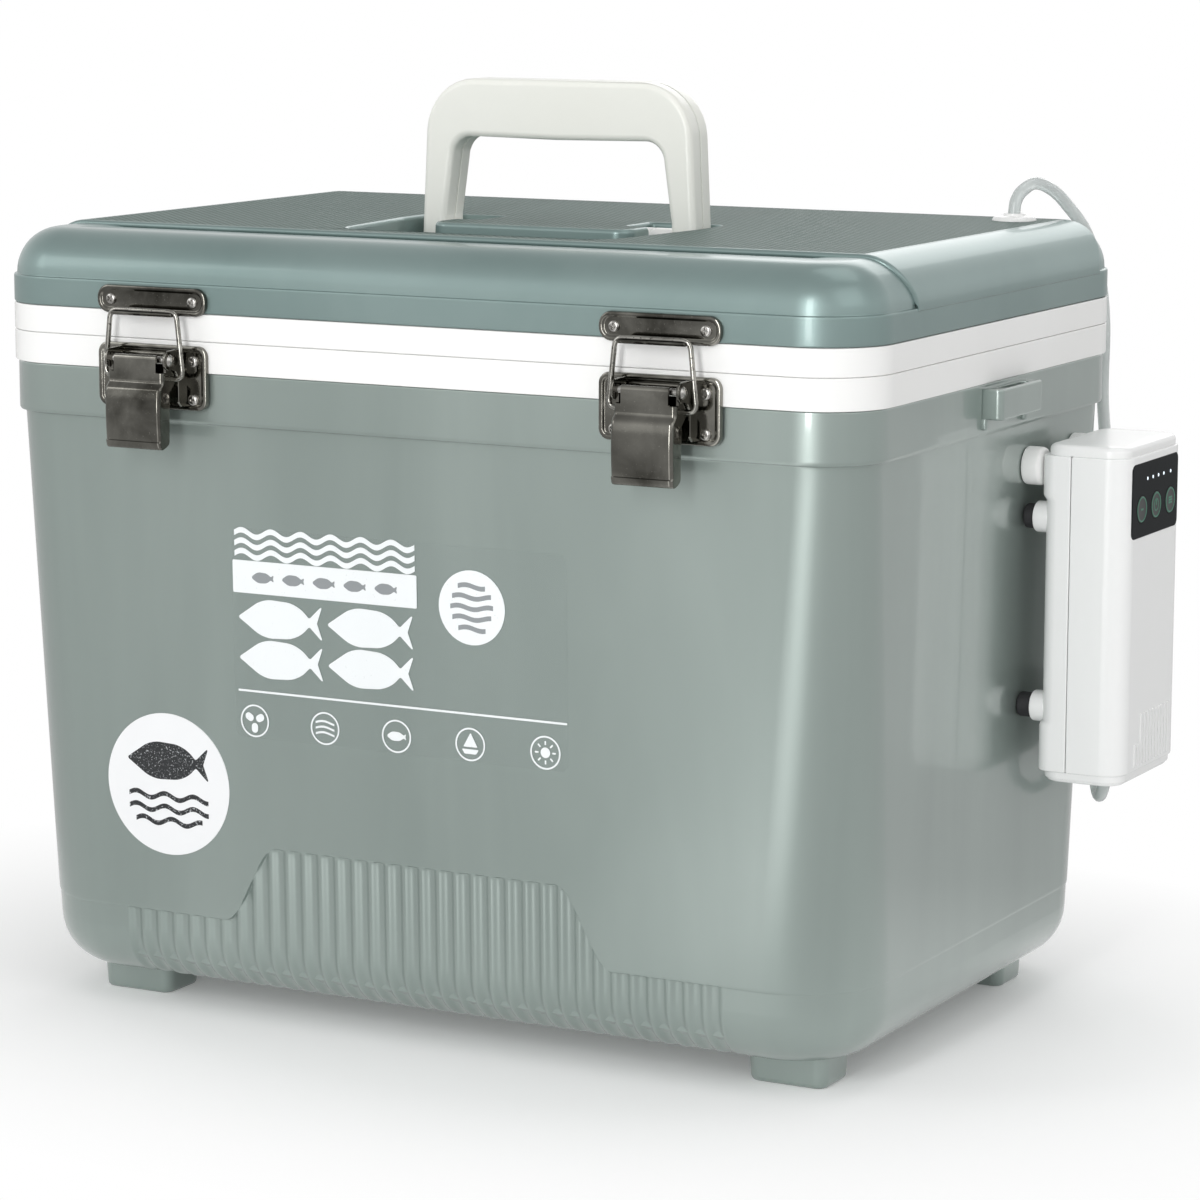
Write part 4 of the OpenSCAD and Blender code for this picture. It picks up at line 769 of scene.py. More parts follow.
@dataclass
class Studio:
    """The camera of the photograph, a pale floor and soft lamps."""

    place: tuple[float, float, float] = (0.91596, -1.72441, 0.51832)
    azimuth: float = 28.04
    elevation: float = 9.51
    roll: float = 0.10
    lens: float = 124.3
    ambient: float = 0.56
    # name, direction as azimuth and elevation, distance, width, height, watts
    lamps: tuple[tuple[str, float, float, float, float, float, float], ...] = (
        ("key_right", 70.0, 34.0, 2.3, 1.5, 1.5, 6.0),
        ("top_soft", 150.0, 72.0, 2.3, 1.6, 1.2, 6.0),
        ("front_strip", 6.0, 15.0, 2.4, 0.42, 1.6, 21.0),
        ("front_left", -48.0, 24.0, 2.6, 0.8, 1.0, 5.0),
        ("back_fill", 190.0, 26.0, 2.6, 1.6, 1.2, 8.0),
    )
    # the shaded floor fades to plain white between these distances, measured on an ellipse
    fade: tuple[float, float] = (0.19, 0.36)
    ellipse: float = 0.69
    lift: float = 0.12
    mirrored_floor: float = 0.58
    # a pale card in front, to the right, that only mirrors see: its start and end, lean, edges and glow
    card_y: tuple[float, float] = (-0.5, -0.2)
    card_lean: float = 0.12
    card_edge: tuple[float, float] = (0.05, 0.36)
    card_glow: float = 1.25

    @staticmethod
    def direction(azimuth: float, elevation: float) -> Vector:
        """Unit vector from the object towards a direction given in degrees."""
        a, e = math.radians(azimuth), math.radians(elevation)
        return Vector((math.sin(a) * math.cos(e), -math.cos(a) * math.cos(e), math.sin(e)))

    def camera(self) -> None:
        """Places the camera and makes it the scene's."""
        data = bpy.data.cameras.new("photo_camera")
        data.sensor_width, data.lens = 36.0, self.lens
        data.clip_start, data.clip_end = 0.05, 60.0
        obj = bpy.data.objects.new("photo_camera", data)
        back = self.direction(self.azimuth, self.elevation)
        x = Vector((0, 0, 1)).cross(back).normalized()
        y = back.cross(x)
        r = math.radians(self.roll)
        x, y = math.cos(r) * x + math.sin(r) * y, -math.sin(r) * x + math.cos(r) * y
        turn = Matrix((x, y, back)).transposed().to_4x4()
        obj.matrix_world = Matrix.Translation(self.place) @ turn
        bpy.context.scene.collection.objects.link(obj)
        bpy.context.scene.camera = obj

    def lights(self) -> None:
        """Hangs the soft lamps."""
        for name, azimuth, elevation, distance, wide, tall, watts in self.lamps:
            data = bpy.data.lights.new(name, "AREA")
            data.shape, data.size, data.size_y, data.energy = "RECTANGLE", wide, tall, watts
            obj = bpy.data.objects.new(name, data)
            way = self.direction(azimuth, elevation)
            obj.location = way * distance + Vector((0, 0, 0.2))
            obj.rotation_euler = way.to_track_quat("Z", "Y").to_euler()
            bpy.context.scene.collection.objects.link(obj)

    def world(self) -> None:
        """Sets a white world that is dimmer overhead in mirrors and as ambient light."""
        world = bpy.data.worlds.new("studio")
        bpy.context.scene.world = world
        world.use_nodes = True
        world.node_tree.nodes.clear()
        n = Nodes(world.node_tree)
        path = n.add("LightPath").outputs
        up = n.add("SeparateXYZ", {0: n.add("TexCoord").outputs["Generated"]}).outputs[2]
        mirrored = n.math("MULTIPLY", n.math("MAXIMUM", path["Is Glossy Ray"], path["Is Transmission Ray"]),
                          n.span(up, 1.0, 0.45, 0.2, 0.9))
        seen = n.math("MAXIMUM", path["Is Camera Ray"], mirrored)
        strength = n.math("MAXIMUM", seen, n.math("MULTIPLY", path["Is Diffuse Ray"], self.ambient))
        sky = n.add("Background", {"Color": (1.0, 1.0, 1.0, 1.0), "Strength": strength})
        n.tree.links.new(sky.outputs[0], n.add("OutputWorld").inputs[0])

    def paper(self) -> bpy.types.Material:
        """Builds the floor's paper: shaded near the object, plain white away from it.

        Returns:
            The material.
        """
        material = bpy.data.materials.new("floor_paper")
        material.use_nodes = True
        material.node_tree.nodes.clear()
        n = Nodes(material.node_tree)
        path = n.add("LightPath").outputs
        place = n.add("TexCoord").outputs["Object"]
        camera = path["Is Camera Ray"]
        mirror = n.math("MAXIMUM", path["Is Glossy Ray"], path["Is Transmission Ray"])
        seen = n.math("MAXIMUM", camera, mirror)
        tone = n.blend(n.effect(EFFECTS.grain, place, 300.0), (0.95, 0.95, 0.95), (0.96, 0.96, 0.96))
        lift = n.add("Emission", {"Color": (1, 1, 1, 1), "Strength": n.math("MULTIPLY", seen, self.lift)})
        near = n.add("AddShader", {0: n.add("BsdfDiffuse", {"Color": tone}).outputs[0], 1: lift.outputs[0]})
        spot = n.add("SeparateXYZ", {0: place}).outputs
        flat = n.add("CombineXYZ", {0: n.math("MULTIPLY", spot[0], self.ellipse), 1: spot[1]})
        reach = n.add("VectorMath", {0: flat.outputs[0]}, operation="LENGTH").outputs["Value"]
        lean = n.math("DIVIDE", spot[0], n.math("MINIMUM", spot[1], -0.01))
        off = n.math("ABSOLUTE", n.math("ADD", lean, self.card_lean))
        card = n.math("MULTIPLY", n.span(spot[1], 1.0, 0.0, *self.card_y),
                      n.span(off, 1.0, 0.0, *self.card_edge))
        mirrored = n.math("ADD", self.mirrored_floor, n.math("MULTIPLY", card, self.card_glow))
        mirrored = n.math("MULTIPLY", mirrored, n.math("SUBTRACT", 1.0, camera))
        white = n.add("Emission", {"Color": (1, 1, 1, 1), "Strength": n.math("MAXIMUM", camera, mirrored)})
        away = n.math("MULTIPLY", seen, n.span(reach, 0.0, 1.0, *self.fade))
        both = n.add("MixShader", {0: away, 1: near.outputs[0], 2: white.outputs[0]})
        n.tree.links.new(both.outputs[0], n.add("OutputMaterial").inputs[0])
        return material

    def floor(self) -> None:
        bm = bmesh.new()
        bmesh.ops.create_grid(bm, x_segments=8, y_segments=8, size=20.0)
        mesh = bpy.data.meshes.new("floor")
        bm.to_mesh(mesh)
        bm.free()
        mesh.materials.append(self.paper())
        obj = bpy.data.objects.new("floor", mesh)
        bpy.context.scene.collection.objects.link(obj)

    def build(self) -> None:
        """Sets view, camera, lights, world and floor."""
        bpy.context.scene.view_settings.view_transform = "Standard"
        self.camera()
        self.lights()
        self.world()
        self.floor()


# ---------------------------------------------------------------- air line


@dataclass
class AirLine:
    """The air tube over the lid, the tube inside and the fittings at its ends."""

    tube_r: float = 3.0
    grommet: tuple[float, float, float] = (185.0, 107.0, 371.0)
    outlet: tuple[float, float, float] = (242.0, 94.0, 122.0)
    # heights between which each tube passes from the tub to the lid
    outer_bend: tuple[float, float] = (296.0, 350.0)
    inner_bend: tuple[float, float] = (190.0, 346.0)
    outer_route: tuple[tuple[float, float, float], ...] = (
        (242, 94, 117.9), (242, 94, 113), (242, 94, 108), (241, 95, 103), (236, 103, 97), (231, 111, 101),
        (229, 115, 112), (228.5, 118, 150), (228.5, 121, 210), (223, 136, 254), (214, 153, 285),
        (213.5, 154.5, 318), (209.5, 157, 342), (204.5, 151, 363), (198, 140, 377.5), (194, 131.5, 384.5),
        (190, 120.5, 388), (186.6, 112.2, 384.6), (185.3, 108.2, 380.2), (185, 107, 375.6), (185, 107, 371.5))
    inner_route: tuple[tuple[float, float, float], ...] = (
        (185, 107, 358.9), (185, 107, 355), (185, 107, 351), (182, 105.5, 345), (174, 102, 334),
        (168, 99, 324), (162, 96, 312), (159, 94, 298), (158, 92, 260), (158, 90, 180), (156, 88, 110),
        (150, 82, 74), (138, 66, 59), (120, 34, 58), (106, 24, 60), (94, 20, 61), (86, 20, 61), (80, 20, 61))

    def tube(self, name: str, node: str, route: Sequence[Sequence[float]]) -> None:
        """Args:
            name: the piece's name.
            node: the node that it replaces.
            route: its points in millimetres round the tub's middle.
        """
        points = smooth_route(route)
        piece = wire(name, points, self.tube_r, "tube_pvc")
        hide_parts(node)
        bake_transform(piece)
        length = sum((b - a).length for a, b in zip(points, points[1:]))
        tuple(points[0])

    def fittings(self) -> None:
        """Turns the grommet on the lid and the outlet under the pump."""
        flange = Form().turned([(3.08, 3.0), (3.4, 3.4), (4.6, 3.5), (5.2, 3.1), (5.4, 2.4), (8.6, 2.1),
                                (9.9, 1.5), (10.5, 0.5), (10.5, 0.0), (5.2, 0.0), (5.0, -5.0), (9.4, -5.0),
                                (9.4, -12.5), (5.0, -13.2), (4.6, -14.0), (3.08, -14.0), (3.08, 3.0)], 48)
        flange.moved(Matrix.Translation(self.grommet)).dressed(
            "lid_grommet", "lid", "tube_grommet", "white_plastic", 38)
        barb = Form().turned([(1.5, 2.0), (5.0, 2.0), (5.0, 0.2), (4.0, 0.0), (4.0, -5.2), (3.7, -5.9),
                              (3.06, -6.0), (3.06, -4.2), (1.5, -4.2), (1.5, 2.0)])
        barb.moved(Matrix.Translation(self.outlet)).dressed(
            "pump_outlet_barb", "tub", "pump_outlet", "outlet_plastic", 38)

    def build(self) -> None:
        """Builds tubes and fittings."""
        self.tube("air_tube_outer", "air_tube", self.outer_route)
        self.tube("air_tube_inner", "inner_air_tube", self.inner_route)
        self.fittings()


# ---------------------------------------------------------------- tub


@dataclass
class Tub:
    """The tub's outer shell with ribs, collar, feet and bracket, and its white liner."""

    collar_in: float = 1.5
    wall_in: float = 4.5
    # how far the walls lean in from top to bottom, at the ends and in front
    lean: tuple[float, float] = (2.7, 4.9)
    base_r: float = 45.0
    edge_r: float = 25.0
    wall_low: float = 39.0
    wall_high: float = 283.6
    parting: float = 50.0
    even_z: float = 118.0
    field_in: float = 0.45
    rib_rise: float = 37.0
    rise_x: tuple[float, float] = (74.0, 102.0)
    rib_pitch: float = 9.0
    rib_half: float = 3.7
    rib_depths: tuple[float, float] = (1.95, 0.25)
    rib_reach: float = 157.5
    columns: int = 360
    column_step: float = 0.9
    foot: tuple[float, float] = (174.0, 101.0)
    inside_half: tuple[float, float] = (187.0, 116.5)
    inside_r: float = 28.0
    inside_z: float = 66.0
    inside_lean: float = 5.0
    floor_r: float = 14.0
    liner_t: float = 2.5

    def wall(self, z: float) -> tuple[float, float, float]:
        """Half length, half depth and corner radius of the wall at a height."""
        t = (self.wall_high - z) / (self.wall_high - self.wall_low)
        top_r = RIM_R - self.wall_in
        return (RIM[0] - self.wall_in - self.lean[0] * t, RIM[1] - self.wall_in - self.lean[1] * t,
                top_r + (self.base_r - top_r) * t)

    def rib_top(self, x: float) -> float:
        """Height at which the ribbed field ends at a place along the front."""
        start, end = self.rise_x
        t = min(max((abs(x) - start) / (end - start), 0.0), 1.0)
        return self.parting + self.rib_rise * (1 - t * t * (3 - 2 * t))

    def rib_depth(self, x: float) -> float:
        """How far the surface lies behind the wall at a place along the ribbed field."""
        if abs(x) > self.rib_reach:
            return self.field_in
        off = (0.5 - abs((x / self.rib_pitch - 0.5) % 1.0 - 0.5)) * self.rib_pitch
        crest = 0.5 + 0.5 * math.cos(math.pi * min(off / self.rib_half, 1.0))
        low, high = self.rib_depths
        return low - (low - high) * crest

    def ring(self, half_x: float, half_y: float, r: float, z: float) -> Ring:
        """A plan ring whose front run carries the rib columns.

        Args:
            half_x: half length.
            half_y: half depth.
            r: corner radius.
            z: height.

        Returns:
            The points, with the front run's columns at fixed places along the front.
        """
        bm = bmesh.new()
        corners = ((-half_x, -half_y), (half_x, -half_y), (half_x, half_y), (-half_x, half_y))
        verts = [bm.verts.new((*p, z)) for p in corners]
        bm.faces.new(verts)
        bmesh.ops.bevel(bm, geom=verts, offset=r, offset_type="OFFSET", segments=12, profile=0.5,
                        affect="VERTICES", material=-1)
        front = [e for e in bm.edges if e.calc_length() > 60
                 and all(abs(v.co.y + half_y) < 1e-4 for v in e.verts)]
        bmesh.ops.subdivide_edges(bm, edges=front, cuts=self.columns + 1)
        bm.faces.ensure_lookup_table()
        points = [v.co.copy() for v in bm.faces[0].verts]
        bm.free()
        run = sorted((p for p in points if abs(p.y + half_y) < 1e-4), key=lambda p: p.x)
        for i, p in enumerate(run[1:-1]):
            p.x = (i - self.columns / 2) * self.column_step
        return from_corner(points, Vector(corners[0]), Vector(corners[1]))

    def on_front(self, p: Vector, half_y: float) -> bool:
        """Whether a ring's point is one of the rib columns."""
        return abs(p.y + half_y) < 1e-3 and abs(p.x) <= self.columns / 2 * self.column_step + 0.01

    def field_ring(self, up: float, proud: float) -> Ring:
        """A ring that follows the ribbed field's upper edge.

        Args:
            up: 0 at the bottom of the upright wall, 1 at the field's edge, 2 at an even height above it.
            proud: 1 for the full wall, 0 for the ribbed field's surface.

        Returns:
            The ring's points.
        """
        def level(edge: float) -> float:
            """The height for up where the field ends at an edge."""
            if up <= 1:
                return self.wall_low + (edge - self.wall_low) * up
            return edge + (self.even_z - edge) * (up - 1)

        inset = self.field_in * (1 - proud)
        hx, hy, r = self.wall(level(self.parting))
        points = self.ring(hx - inset, hy - inset, r - inset, level(self.parting))
        for p in points:
            if self.on_front(p, hy - inset):
                z = level(self.rib_top(p.x))
                p.y, p.z = self.rib_depth(p.x) * (1 - proud) - self.wall(z)[1], z
        return points

    def bottom_ring(self, angle: float) -> Ring:
        """A ring on the rounded bottom edge, 0 at the wall and 90 at the underside."""
        a = math.radians(angle)
        keep = max(min((84.0 - angle) / 30.0, 1.0), 0.0)
        inset = self.edge_r * (1 - math.cos(a)) + self.field_in * keep * math.cos(a)
        hx, hy, r = self.wall(self.wall_low)
        points = self.ring(hx - inset, hy - inset, r - inset, self.wall_low - self.edge_r * math.sin(a))
        for p in points:
            if self.on_front(p, hy - inset):
                reach = self.edge_r - self.rib_depth(p.x) * keep
                p.y, p.z = self.edge_r - hy - reach * math.cos(a), self.wall_low - reach * math.sin(a)
        return points

    def plain_ring(self, z: float, inset: float = 0.0) -> Ring:
        """A ring at a height, inside the wall by inset."""
        hx, hy, r = self.wall(z)
        return self.ring(hx - inset, hy - inset, max(r - inset, 2.0), z)

    def collar_ring(self, z: float, inset: float) -> Ring:
        """A ring of the collar, inside it by inset."""
        edge = self.collar_in + inset
        return self.ring(RIM[0] - edge, RIM[1] - edge, RIM_R - edge, z)

    def shell(self) -> None:
        """Lofts the coloured shell and adds feet and bracket."""
        edge = ((0.962, 0.0), (0.985, 0.15), (0.995, 0.7), (1.004, 0.97), (1.02, 1.0), (1.06, 1.0),
                (1.2, 1.0), (1.4, 1.0), (1.7, 1.0), (2.0, 1.0))
        collar = ((283.9, 1.6), (284.2, 0.5), (284.9, 0.08), (286.0, 0.0), (306.4, 0.0), (307.1, 0.3),
                  (307.4, 1.0), (307.4, 3.0), (290.0, 5.9))
        rings = [self.bottom_ring(a) for a in range(90, 0, -10)]
        rings += [self.field_ring(u / 10, 0.0) for u in range(10)]
        rings += [self.field_ring(u, proud) for u, proud in edge]
        rings += [self.plain_ring(z) for z in (160, 200, 240, 270, 282.4)]
        rings += [self.plain_ring(283.5, -0.25)] + [self.collar_ring(z, inset) for z, inset in collar]
        rings += [self.plain_ring(z, inset) for z, inset in ((270, 3.0), (60, 3.0), (44, 5.0), (39, 16.0))]
        # the two innermost rings close the shell above its rounded bottom edge
        for ring, z in ((rings[-1], 17.5), (rings[-2], 26.0)):
            for p in ring:
                p.z = z
        form = Form().lofted(rings)
        foot = Form().stack(Outline.centred(19, 14, 5.5, 6),
                            ((-2.2, 0.0), (-1.0, 0.35), (-0.3, 1.2), (0.0, 2.4), (1.2, 22.0)))
        for sx, sy in ((-1, -1), (-1, 1), (1, -1), (1, 1)):
            form.add(foot, Matrix.Translation((sx * self.foot[0], sy * self.foot[1], 0)))
        self.bracket(form)
        form.dressed("tub_outer_shell", "tub", "tub_shell", "tub_plastic")

    def bracket(self, form: Form) -> None:
        """Adds the slotted strap bracket to the right-hand end."""
        outer = Outline.box(221.5, 233.5, -21.0, 28.0, 3.0, 6)
        slot = Outline.box(226.2, 230.8, -12.0, 19.0, 2.25, 6)
        outside = ((-0.9, 291.4), (-0.25, 291.7), (0.0, 292.4), (0.0, 304.4), (-0.25, 305.1), (-0.9, 305.4))
        inside = ((0.7, 305.4), (0.15, 305.1), (0.0, 304.6), (0.0, 292.2), (0.15, 291.7), (0.7, 291.4))
        form.loft([plan.grown(by).ring(z) for plan, levels in ((outer, outside), (slot, inside))
                   for by, z in levels], round_trip=True)
        for y in (-19.5, 26.5):
            form.add(Form().block((221.0, y - 1.5, 286.5), (226.0, y + 1.5, 292.5), 1.2))

    def liner(self) -> None:
        """Lofts the white band and the inside of the tub."""
        top = SEAM - 0.05
        hx, hy = self.inside_half

        def inside(grow: float, z: float) -> Ring:
            """A ring of the inside wall at a height."""
            lean = self.inside_lean * (top - z) / (top - self.inside_z)
            return Outline.centred(hx + grow - lean, hy + grow - lean, self.inside_r + grow, 12).ring(z)

        floor = Outline.centred(150, 80, 10, 12)
        rings = [floor.ring(52.0 - self.liner_t), inside(-8, 51.0)]
        rings += [inside(self.liner_t, z) for z in (self.inside_z, 200, top - 3.0)]
        rings += [rim_ring(by, z) for by, z in (
            (3.0, top - 3.0), (3.0, 307.45), (1.0, 307.45), (0.25, 307.7), (0, 308.3), (0, 321.3),
            (0.15, 321.7), (0.5, top))]
        rings += [inside(grow, z) for grow, z in (
            (3.0, top), (1.2, top - 0.3), (0.3, top - 1.2), (0, top - 3), (0, 200), (0, self.inside_z))]
        base = Outline.centred(hx - self.inside_lean, hy - self.inside_lean, self.inside_r, 12)
        for a in (math.radians(18 * k) for k in range(1, 6)):
            drawn = base.grown(-self.floor_r * (1 - math.cos(a)))
            rings.append(drawn.ring(self.inside_z - self.floor_r * math.sin(a)))
        rings.append(floor.ring(52.0))
        Form().lofted(rings).dressed("tub_white_liner", "tub", "tub_liner", "liner_plastic")

    def build(self) -> None:
        """Builds shell and liner."""
        self.shell()
        self.liner()


# ---------------------------------------------------------------- lid


@dataclass
class Lid:
    """The lid: bolsters, proud middle band with its textured panel and well, and the white pan."""

    lip_z: float = 334.8
    body_z: float = 348.1
    panel_z: float = 371.0
    bolster_r: float = 21.0
    band_r: float = 22.5
    arc_z: float = 348.5
    # half depth of the middle band on top and at its ends, in front and at the back
    crease_y: tuple[float, float] = (106.0, 127.0)
    crease_end_y: tuple[float, float] = (96.5, 117.5)
    well_z: float = 349.0
    sheet: float = 1.4
    arc_steps: int = 12

    def bolsters(self) -> None:
        """Lofts the lip and the cushion-like body round the middle band."""
        lip, body, r = self.lip_z, self.body_z, self.bolster_r
        arc = [math.pi / 2 * i / self.arc_steps for i in range(1, self.arc_steps + 1)]
        levels = [(3.0, lip + 3), (3.0, lip), (0.8, lip), (0.2, lip + 0.3), (0.0, lip + 1.0),
                  (0.0, body - 1.2), (0.25, body - 0.4), (0.9, body - 0.05), (1.35, body), (1.5, body + 0.5)]
        levels += [(1.5 + r * (1 - math.cos(a)), self.arc_z + r * math.sin(a)) for a in arc]
        levels += [(30.0, 369.45), (38.0, 369.2), (44.0, 368.7), (50.0, 367.6)]
        hole = Outline.box(-96.0, 96.0, -99.0, 60.0, 4.0, 12)
        rings = [rim_ring(by, z) for by, z in levels] + [hole.ring(366.5), hole.ring(345.0)]
        rings += [rim_ring(by, z) for by, z in ((50.0, 345.0), (26.0, 345.0), (6.0, 343.0))]
        Form().lofted(rings, round_trip=True).dressed("lid_bolsters", "lid", "lid_shell", "lid_plastic")

    def well_outline(self) -> Outline:
        """The outline of the U-shaped well at the panel, island left standing."""
        right = ((69, -92, 14), (78, -18, 12), (78, 12, 6), (40, 12, 1.5), (40, -12, 2), (53, -14, 4),
                 (53, -38, 9))
        left = tuple((-x, y, r) for x, y, r in reversed(right))
        return Outline(right[2:] + left + right[:2], 6)

    def profile(self) -> list[tuple[float, float, float, float]]:
        """The band's section over the tub's length: x, z, and the outward direction's x and z."""
        right = [(225.03, 346.4, 1.0, 0.0), (225.04, 347.2, 1.0, 0.0)]
        for a in (math.radians(90.0 * i / self.arc_steps) for i in range(self.arc_steps + 1)):
            c, s = math.cos(a), math.sin(a)
            right.append((202.56 + self.band_r * c, self.arc_z + self.band_r * s, c, s))
        return right + [(-x, z, -nx, nz) for x, z, nx, nz in reversed(right)]

    def band_half(self, back: bool, z: float) -> float:
        """Half depth of the middle band, in front or at the back, at a height of its section."""
        low, high = self.crease_end_y[back], self.crease_y[back]
        t = min(max((z - self.body_z) / (self.panel_z - self.body_z), 0.0), 1.0)
        return low + (high - low) * math.sin(t * math.pi / 2) ** 1.6

    def row(self, side: float, inset: float, sink: float) -> Ring:
        """One line of the middle band along its section.

        Args:
            side: -1 in front, 1 at the back.
            inset: distance from the band's edge.
            sink: how far the line lies below the band's surface.

        Returns:
            The line's points.
        """
        points = []
        for x, z, nx, nz in self.profile():
            depth = sink if z > self.body_z + 0.5 else 0.0
            y = side * (self.band_half(side > 0, z) - inset)
            points.append(Vector((x - nx * depth, y, z - nz * depth)))
        return points

    def middle_band(self) -> None:
        """Builds the proud band with the textured panel, the well and the island."""
        edge = ((0.0, 2.8), (0.0, 1.5), (0.2, 0.85), (0.65, 0.35), (1.3, 0.06), (2.0, 0.0), (8.0, 0.0),
                (13.0, 0.0))
        form = Form().lofted([self.row(-1, *step) for step in edge]
                             + [self.row(1, *step) for step in reversed(edge)], closed=False)
        bm = form.bm
        bmesh.ops.remove_doubles(bm, verts=bm.verts, dist=1e-4)
        flat = [f for f in bm.faces if all(abs(v.co.z - self.panel_z) < 1e-3 for v in f.verts)
                and f.calc_area() > 20000]
        border = {e for f in flat for e in f.edges}
        bmesh.ops.delete(bm, geom=flat, context="FACES_ONLY")
        well = self.well_outline()
        levels = ((1.6, self.panel_z), (1.15, 370.9), (0.6, 370.55), (0.2, 369.9), (0.0, 369.0),
                  (-0.6, 352.5), (-0.9, 351.0), (-1.6, 349.8), (-2.6, 349.2), (-4.0, self.well_z))
        loops = form.loft([well.grown(by).ring(z) for by, z in levels], low=False)
        bmesh.ops.triangle_fill(bm, use_beauty=True, edges=list(border) + loops[0])
        form.paint(1, lambda f: f.calc_center_median().z > self.panel_z - 0.02 and abs(f.normal.z) > 0.999)
        obj = form.piece("lid_middle_band", "lid_plastic", "lid_panel_plastic", sharp=42)
        wall = obj.modifiers.new("wall", "SOLIDIFY")
        wall.thickness, wall.offset = self.sheet * MM, -1.0
        settle(weighted(obj), "lid", "lid_plastic", "lid_shell")

    def pan(self) -> None:
        """Lofts the white band above the seam and the pan below the lid."""
        low = SEAM + 0.05

        def plug(by: float, z: float) -> Ring:
            """A ring of the pan's raised middle, upside down."""
            return Outline.centred(184 - by, 113.5 - by, 25 - by, 12).ring(z)

        rings = [plug(by, z) for by, z in ((8.0, 314.5), (4.0, 314.5), (2.5, 316.0), (2.5, 326.0))]
        rings += [rim_ring(by, z) for by, z in (
            (3.0, 326.0), (3.0, 334.7), (0.9, 334.7), (0.25, 334.4), (0.0, 333.8), (0.0, 322.7),
            (0.15, 322.3), (0.5, low), (22.0, low))]
        rings += [plug(by, z) for by, z in (
            (-1.5, low), (-0.4, low - 0.4), (0.0, low - 1.4), (0.6, 313.5), (1.4, 312.4), (3.0, 312.0),
            (8.0, 312.0))]
        Form().lofted(rings).dressed("lid_white_pan", "lid", "lid_pan", "liner_plastic")

    def build(self) -> None:
        """Builds the lid's pieces."""
        self.bolsters()
        self.middle_band()
        self.pan()


# ---------------------------------------------------------------- handle


@dataclass
class Handle:
    """The folding carry handle and the white bushes beside its legs."""

    pivot_z: float = 360.0
    half: float = 74.0
    half_top: float = 70.0
    height: float = 77.5
    grip: float = 27.5
    corner: float = 26.0
    leg: float = 13.5
    depth: float = 20.0
    fillet: float = 3.2
    bush_x: tuple[float, float] = (41.3, 60.5)

    def outline(self, foot: float) -> Outline:
        """The handle seen from the front, its legs ending at a height below the pivots."""
        inner, top = self.half - self.leg, self.height - self.grip
        right = ((inner - 5.2, top + 0.2, 9.5), (inner, 12.0, 6.0), (inner, foot, 0.4),
                 (self.half, foot, 0.4), (self.half_top, self.height, self.corner))
        left = tuple((-x, y, r) for x, y, r in reversed(right))
        return Outline(right[3:] + left + ((0.0, top - 0.6, 40.0),) + right[:3], 8)

    def grip_piece(self) -> None:
        """Lofts the handle from front to back with rounded long edges and a parting groove."""
        r, half = self.fillet, self.depth / 2
        arc = [math.pi / 2 * i / 5 for i in range(6)]
        levels = [(-r * (1 - math.sin(a)), -half + r * (1 - math.cos(a))) for a in arc]
        levels += [(0.0, -1.2), (-0.15, -0.75), (-0.55, -0.5)]
        levels += [(by, -y) for by, y in reversed(levels)]
        rings = []
        for by, y in levels:
            foot = -math.sqrt(max(half * half - y * y, 0.0))
            rings.append(self.outline(min(foot, -0.4) - by).grown(by).ring(y))
        form = Form().lofted(rings).moved(Facing.FRONT.at(0, 0, self.pivot_z))
        form.dressed("handle_grip", "handle", "handle", "handle_plastic", 50)

    def bushes(self) -> None:
        """Turns a white bush beside each leg."""
        start, end = self.bush_x
        long = end - start
        for side in Side:
            form = Form().turned([(3.1, 0.0), (8.4, 0.0), (9.1, 0.3), (9.5, 1.0), (9.5, 6.0), (9.1, 6.4),
                                  (9.1, 7.2), (9.5, 7.6), (9.5, long - 1), (9.2, long - 0.3), (8.6, long),
                                  (3.1, long), (3.1, 0.0)], 48)
            mirror = Matrix.Diagonal((side.value, 1, 1, 1))
            place = mirror @ Matrix.Translation((start, 0, self.pivot_z)) @ ALONG_X
            name = "handle_bush_" + side.word
            form.moved(place).dressed(name + "_turned", "handle", name, "white_plastic", 38)

    def build(self) -> None:
        """Builds grip and bushes."""
        self.grip_piece()
        self.bushes()


# ---------------------------------------------------------------- screws and latches


@dataclass
class PanScrew:
    """A pan-head screw with a cross recess, its head towards local +z and its seat at z 0."""

    head_r: float = 2.7
    head_h: float = 1.4
    shank_r: float = 1.45
    shank_l: float = 4.6
    arm: float = 1.55
    arm_half: float = 0.42

    def form(self) -> Form:
        """Lofts the shank, the head and its cross recess.

        Returns:
            The screw's form.
        """
        arm, wide, head = self.arm, self.arm_half, self.head_r
        quarter = [(wide, -arm), (wide, -wide), (arm, -wide)]
        corners = []
        for _ in range(4):
            corners += [(x, y, 0.1) for x, y in quarter]
            quarter = [(-y, x) for x, y in quarter]
        cross = Outline(tuple(corners), 1)
        sides = len(cross.ring(0.0))
        first = math.atan2(-arm, wide)
        levels = ((self.shank_r, -self.shank_l), (self.shank_r, 0.0), (head - 0.1, 0.0), (head, 0.3),
                  (head - 0.1, 0.75), (head - 0.5, 1.15), (head - 1.0, 1.36))
        turns = [first + math.tau * i / sides for i in range(sides)]
        rings = [[Vector((r * math.cos(a), r * math.sin(a), z)) for a in turns] for r, z in levels]
        rings += [cross.ring(self.head_h), cross.grown(-0.12).ring(self.head_h - 0.85)]
        return Form().lofted(rings)


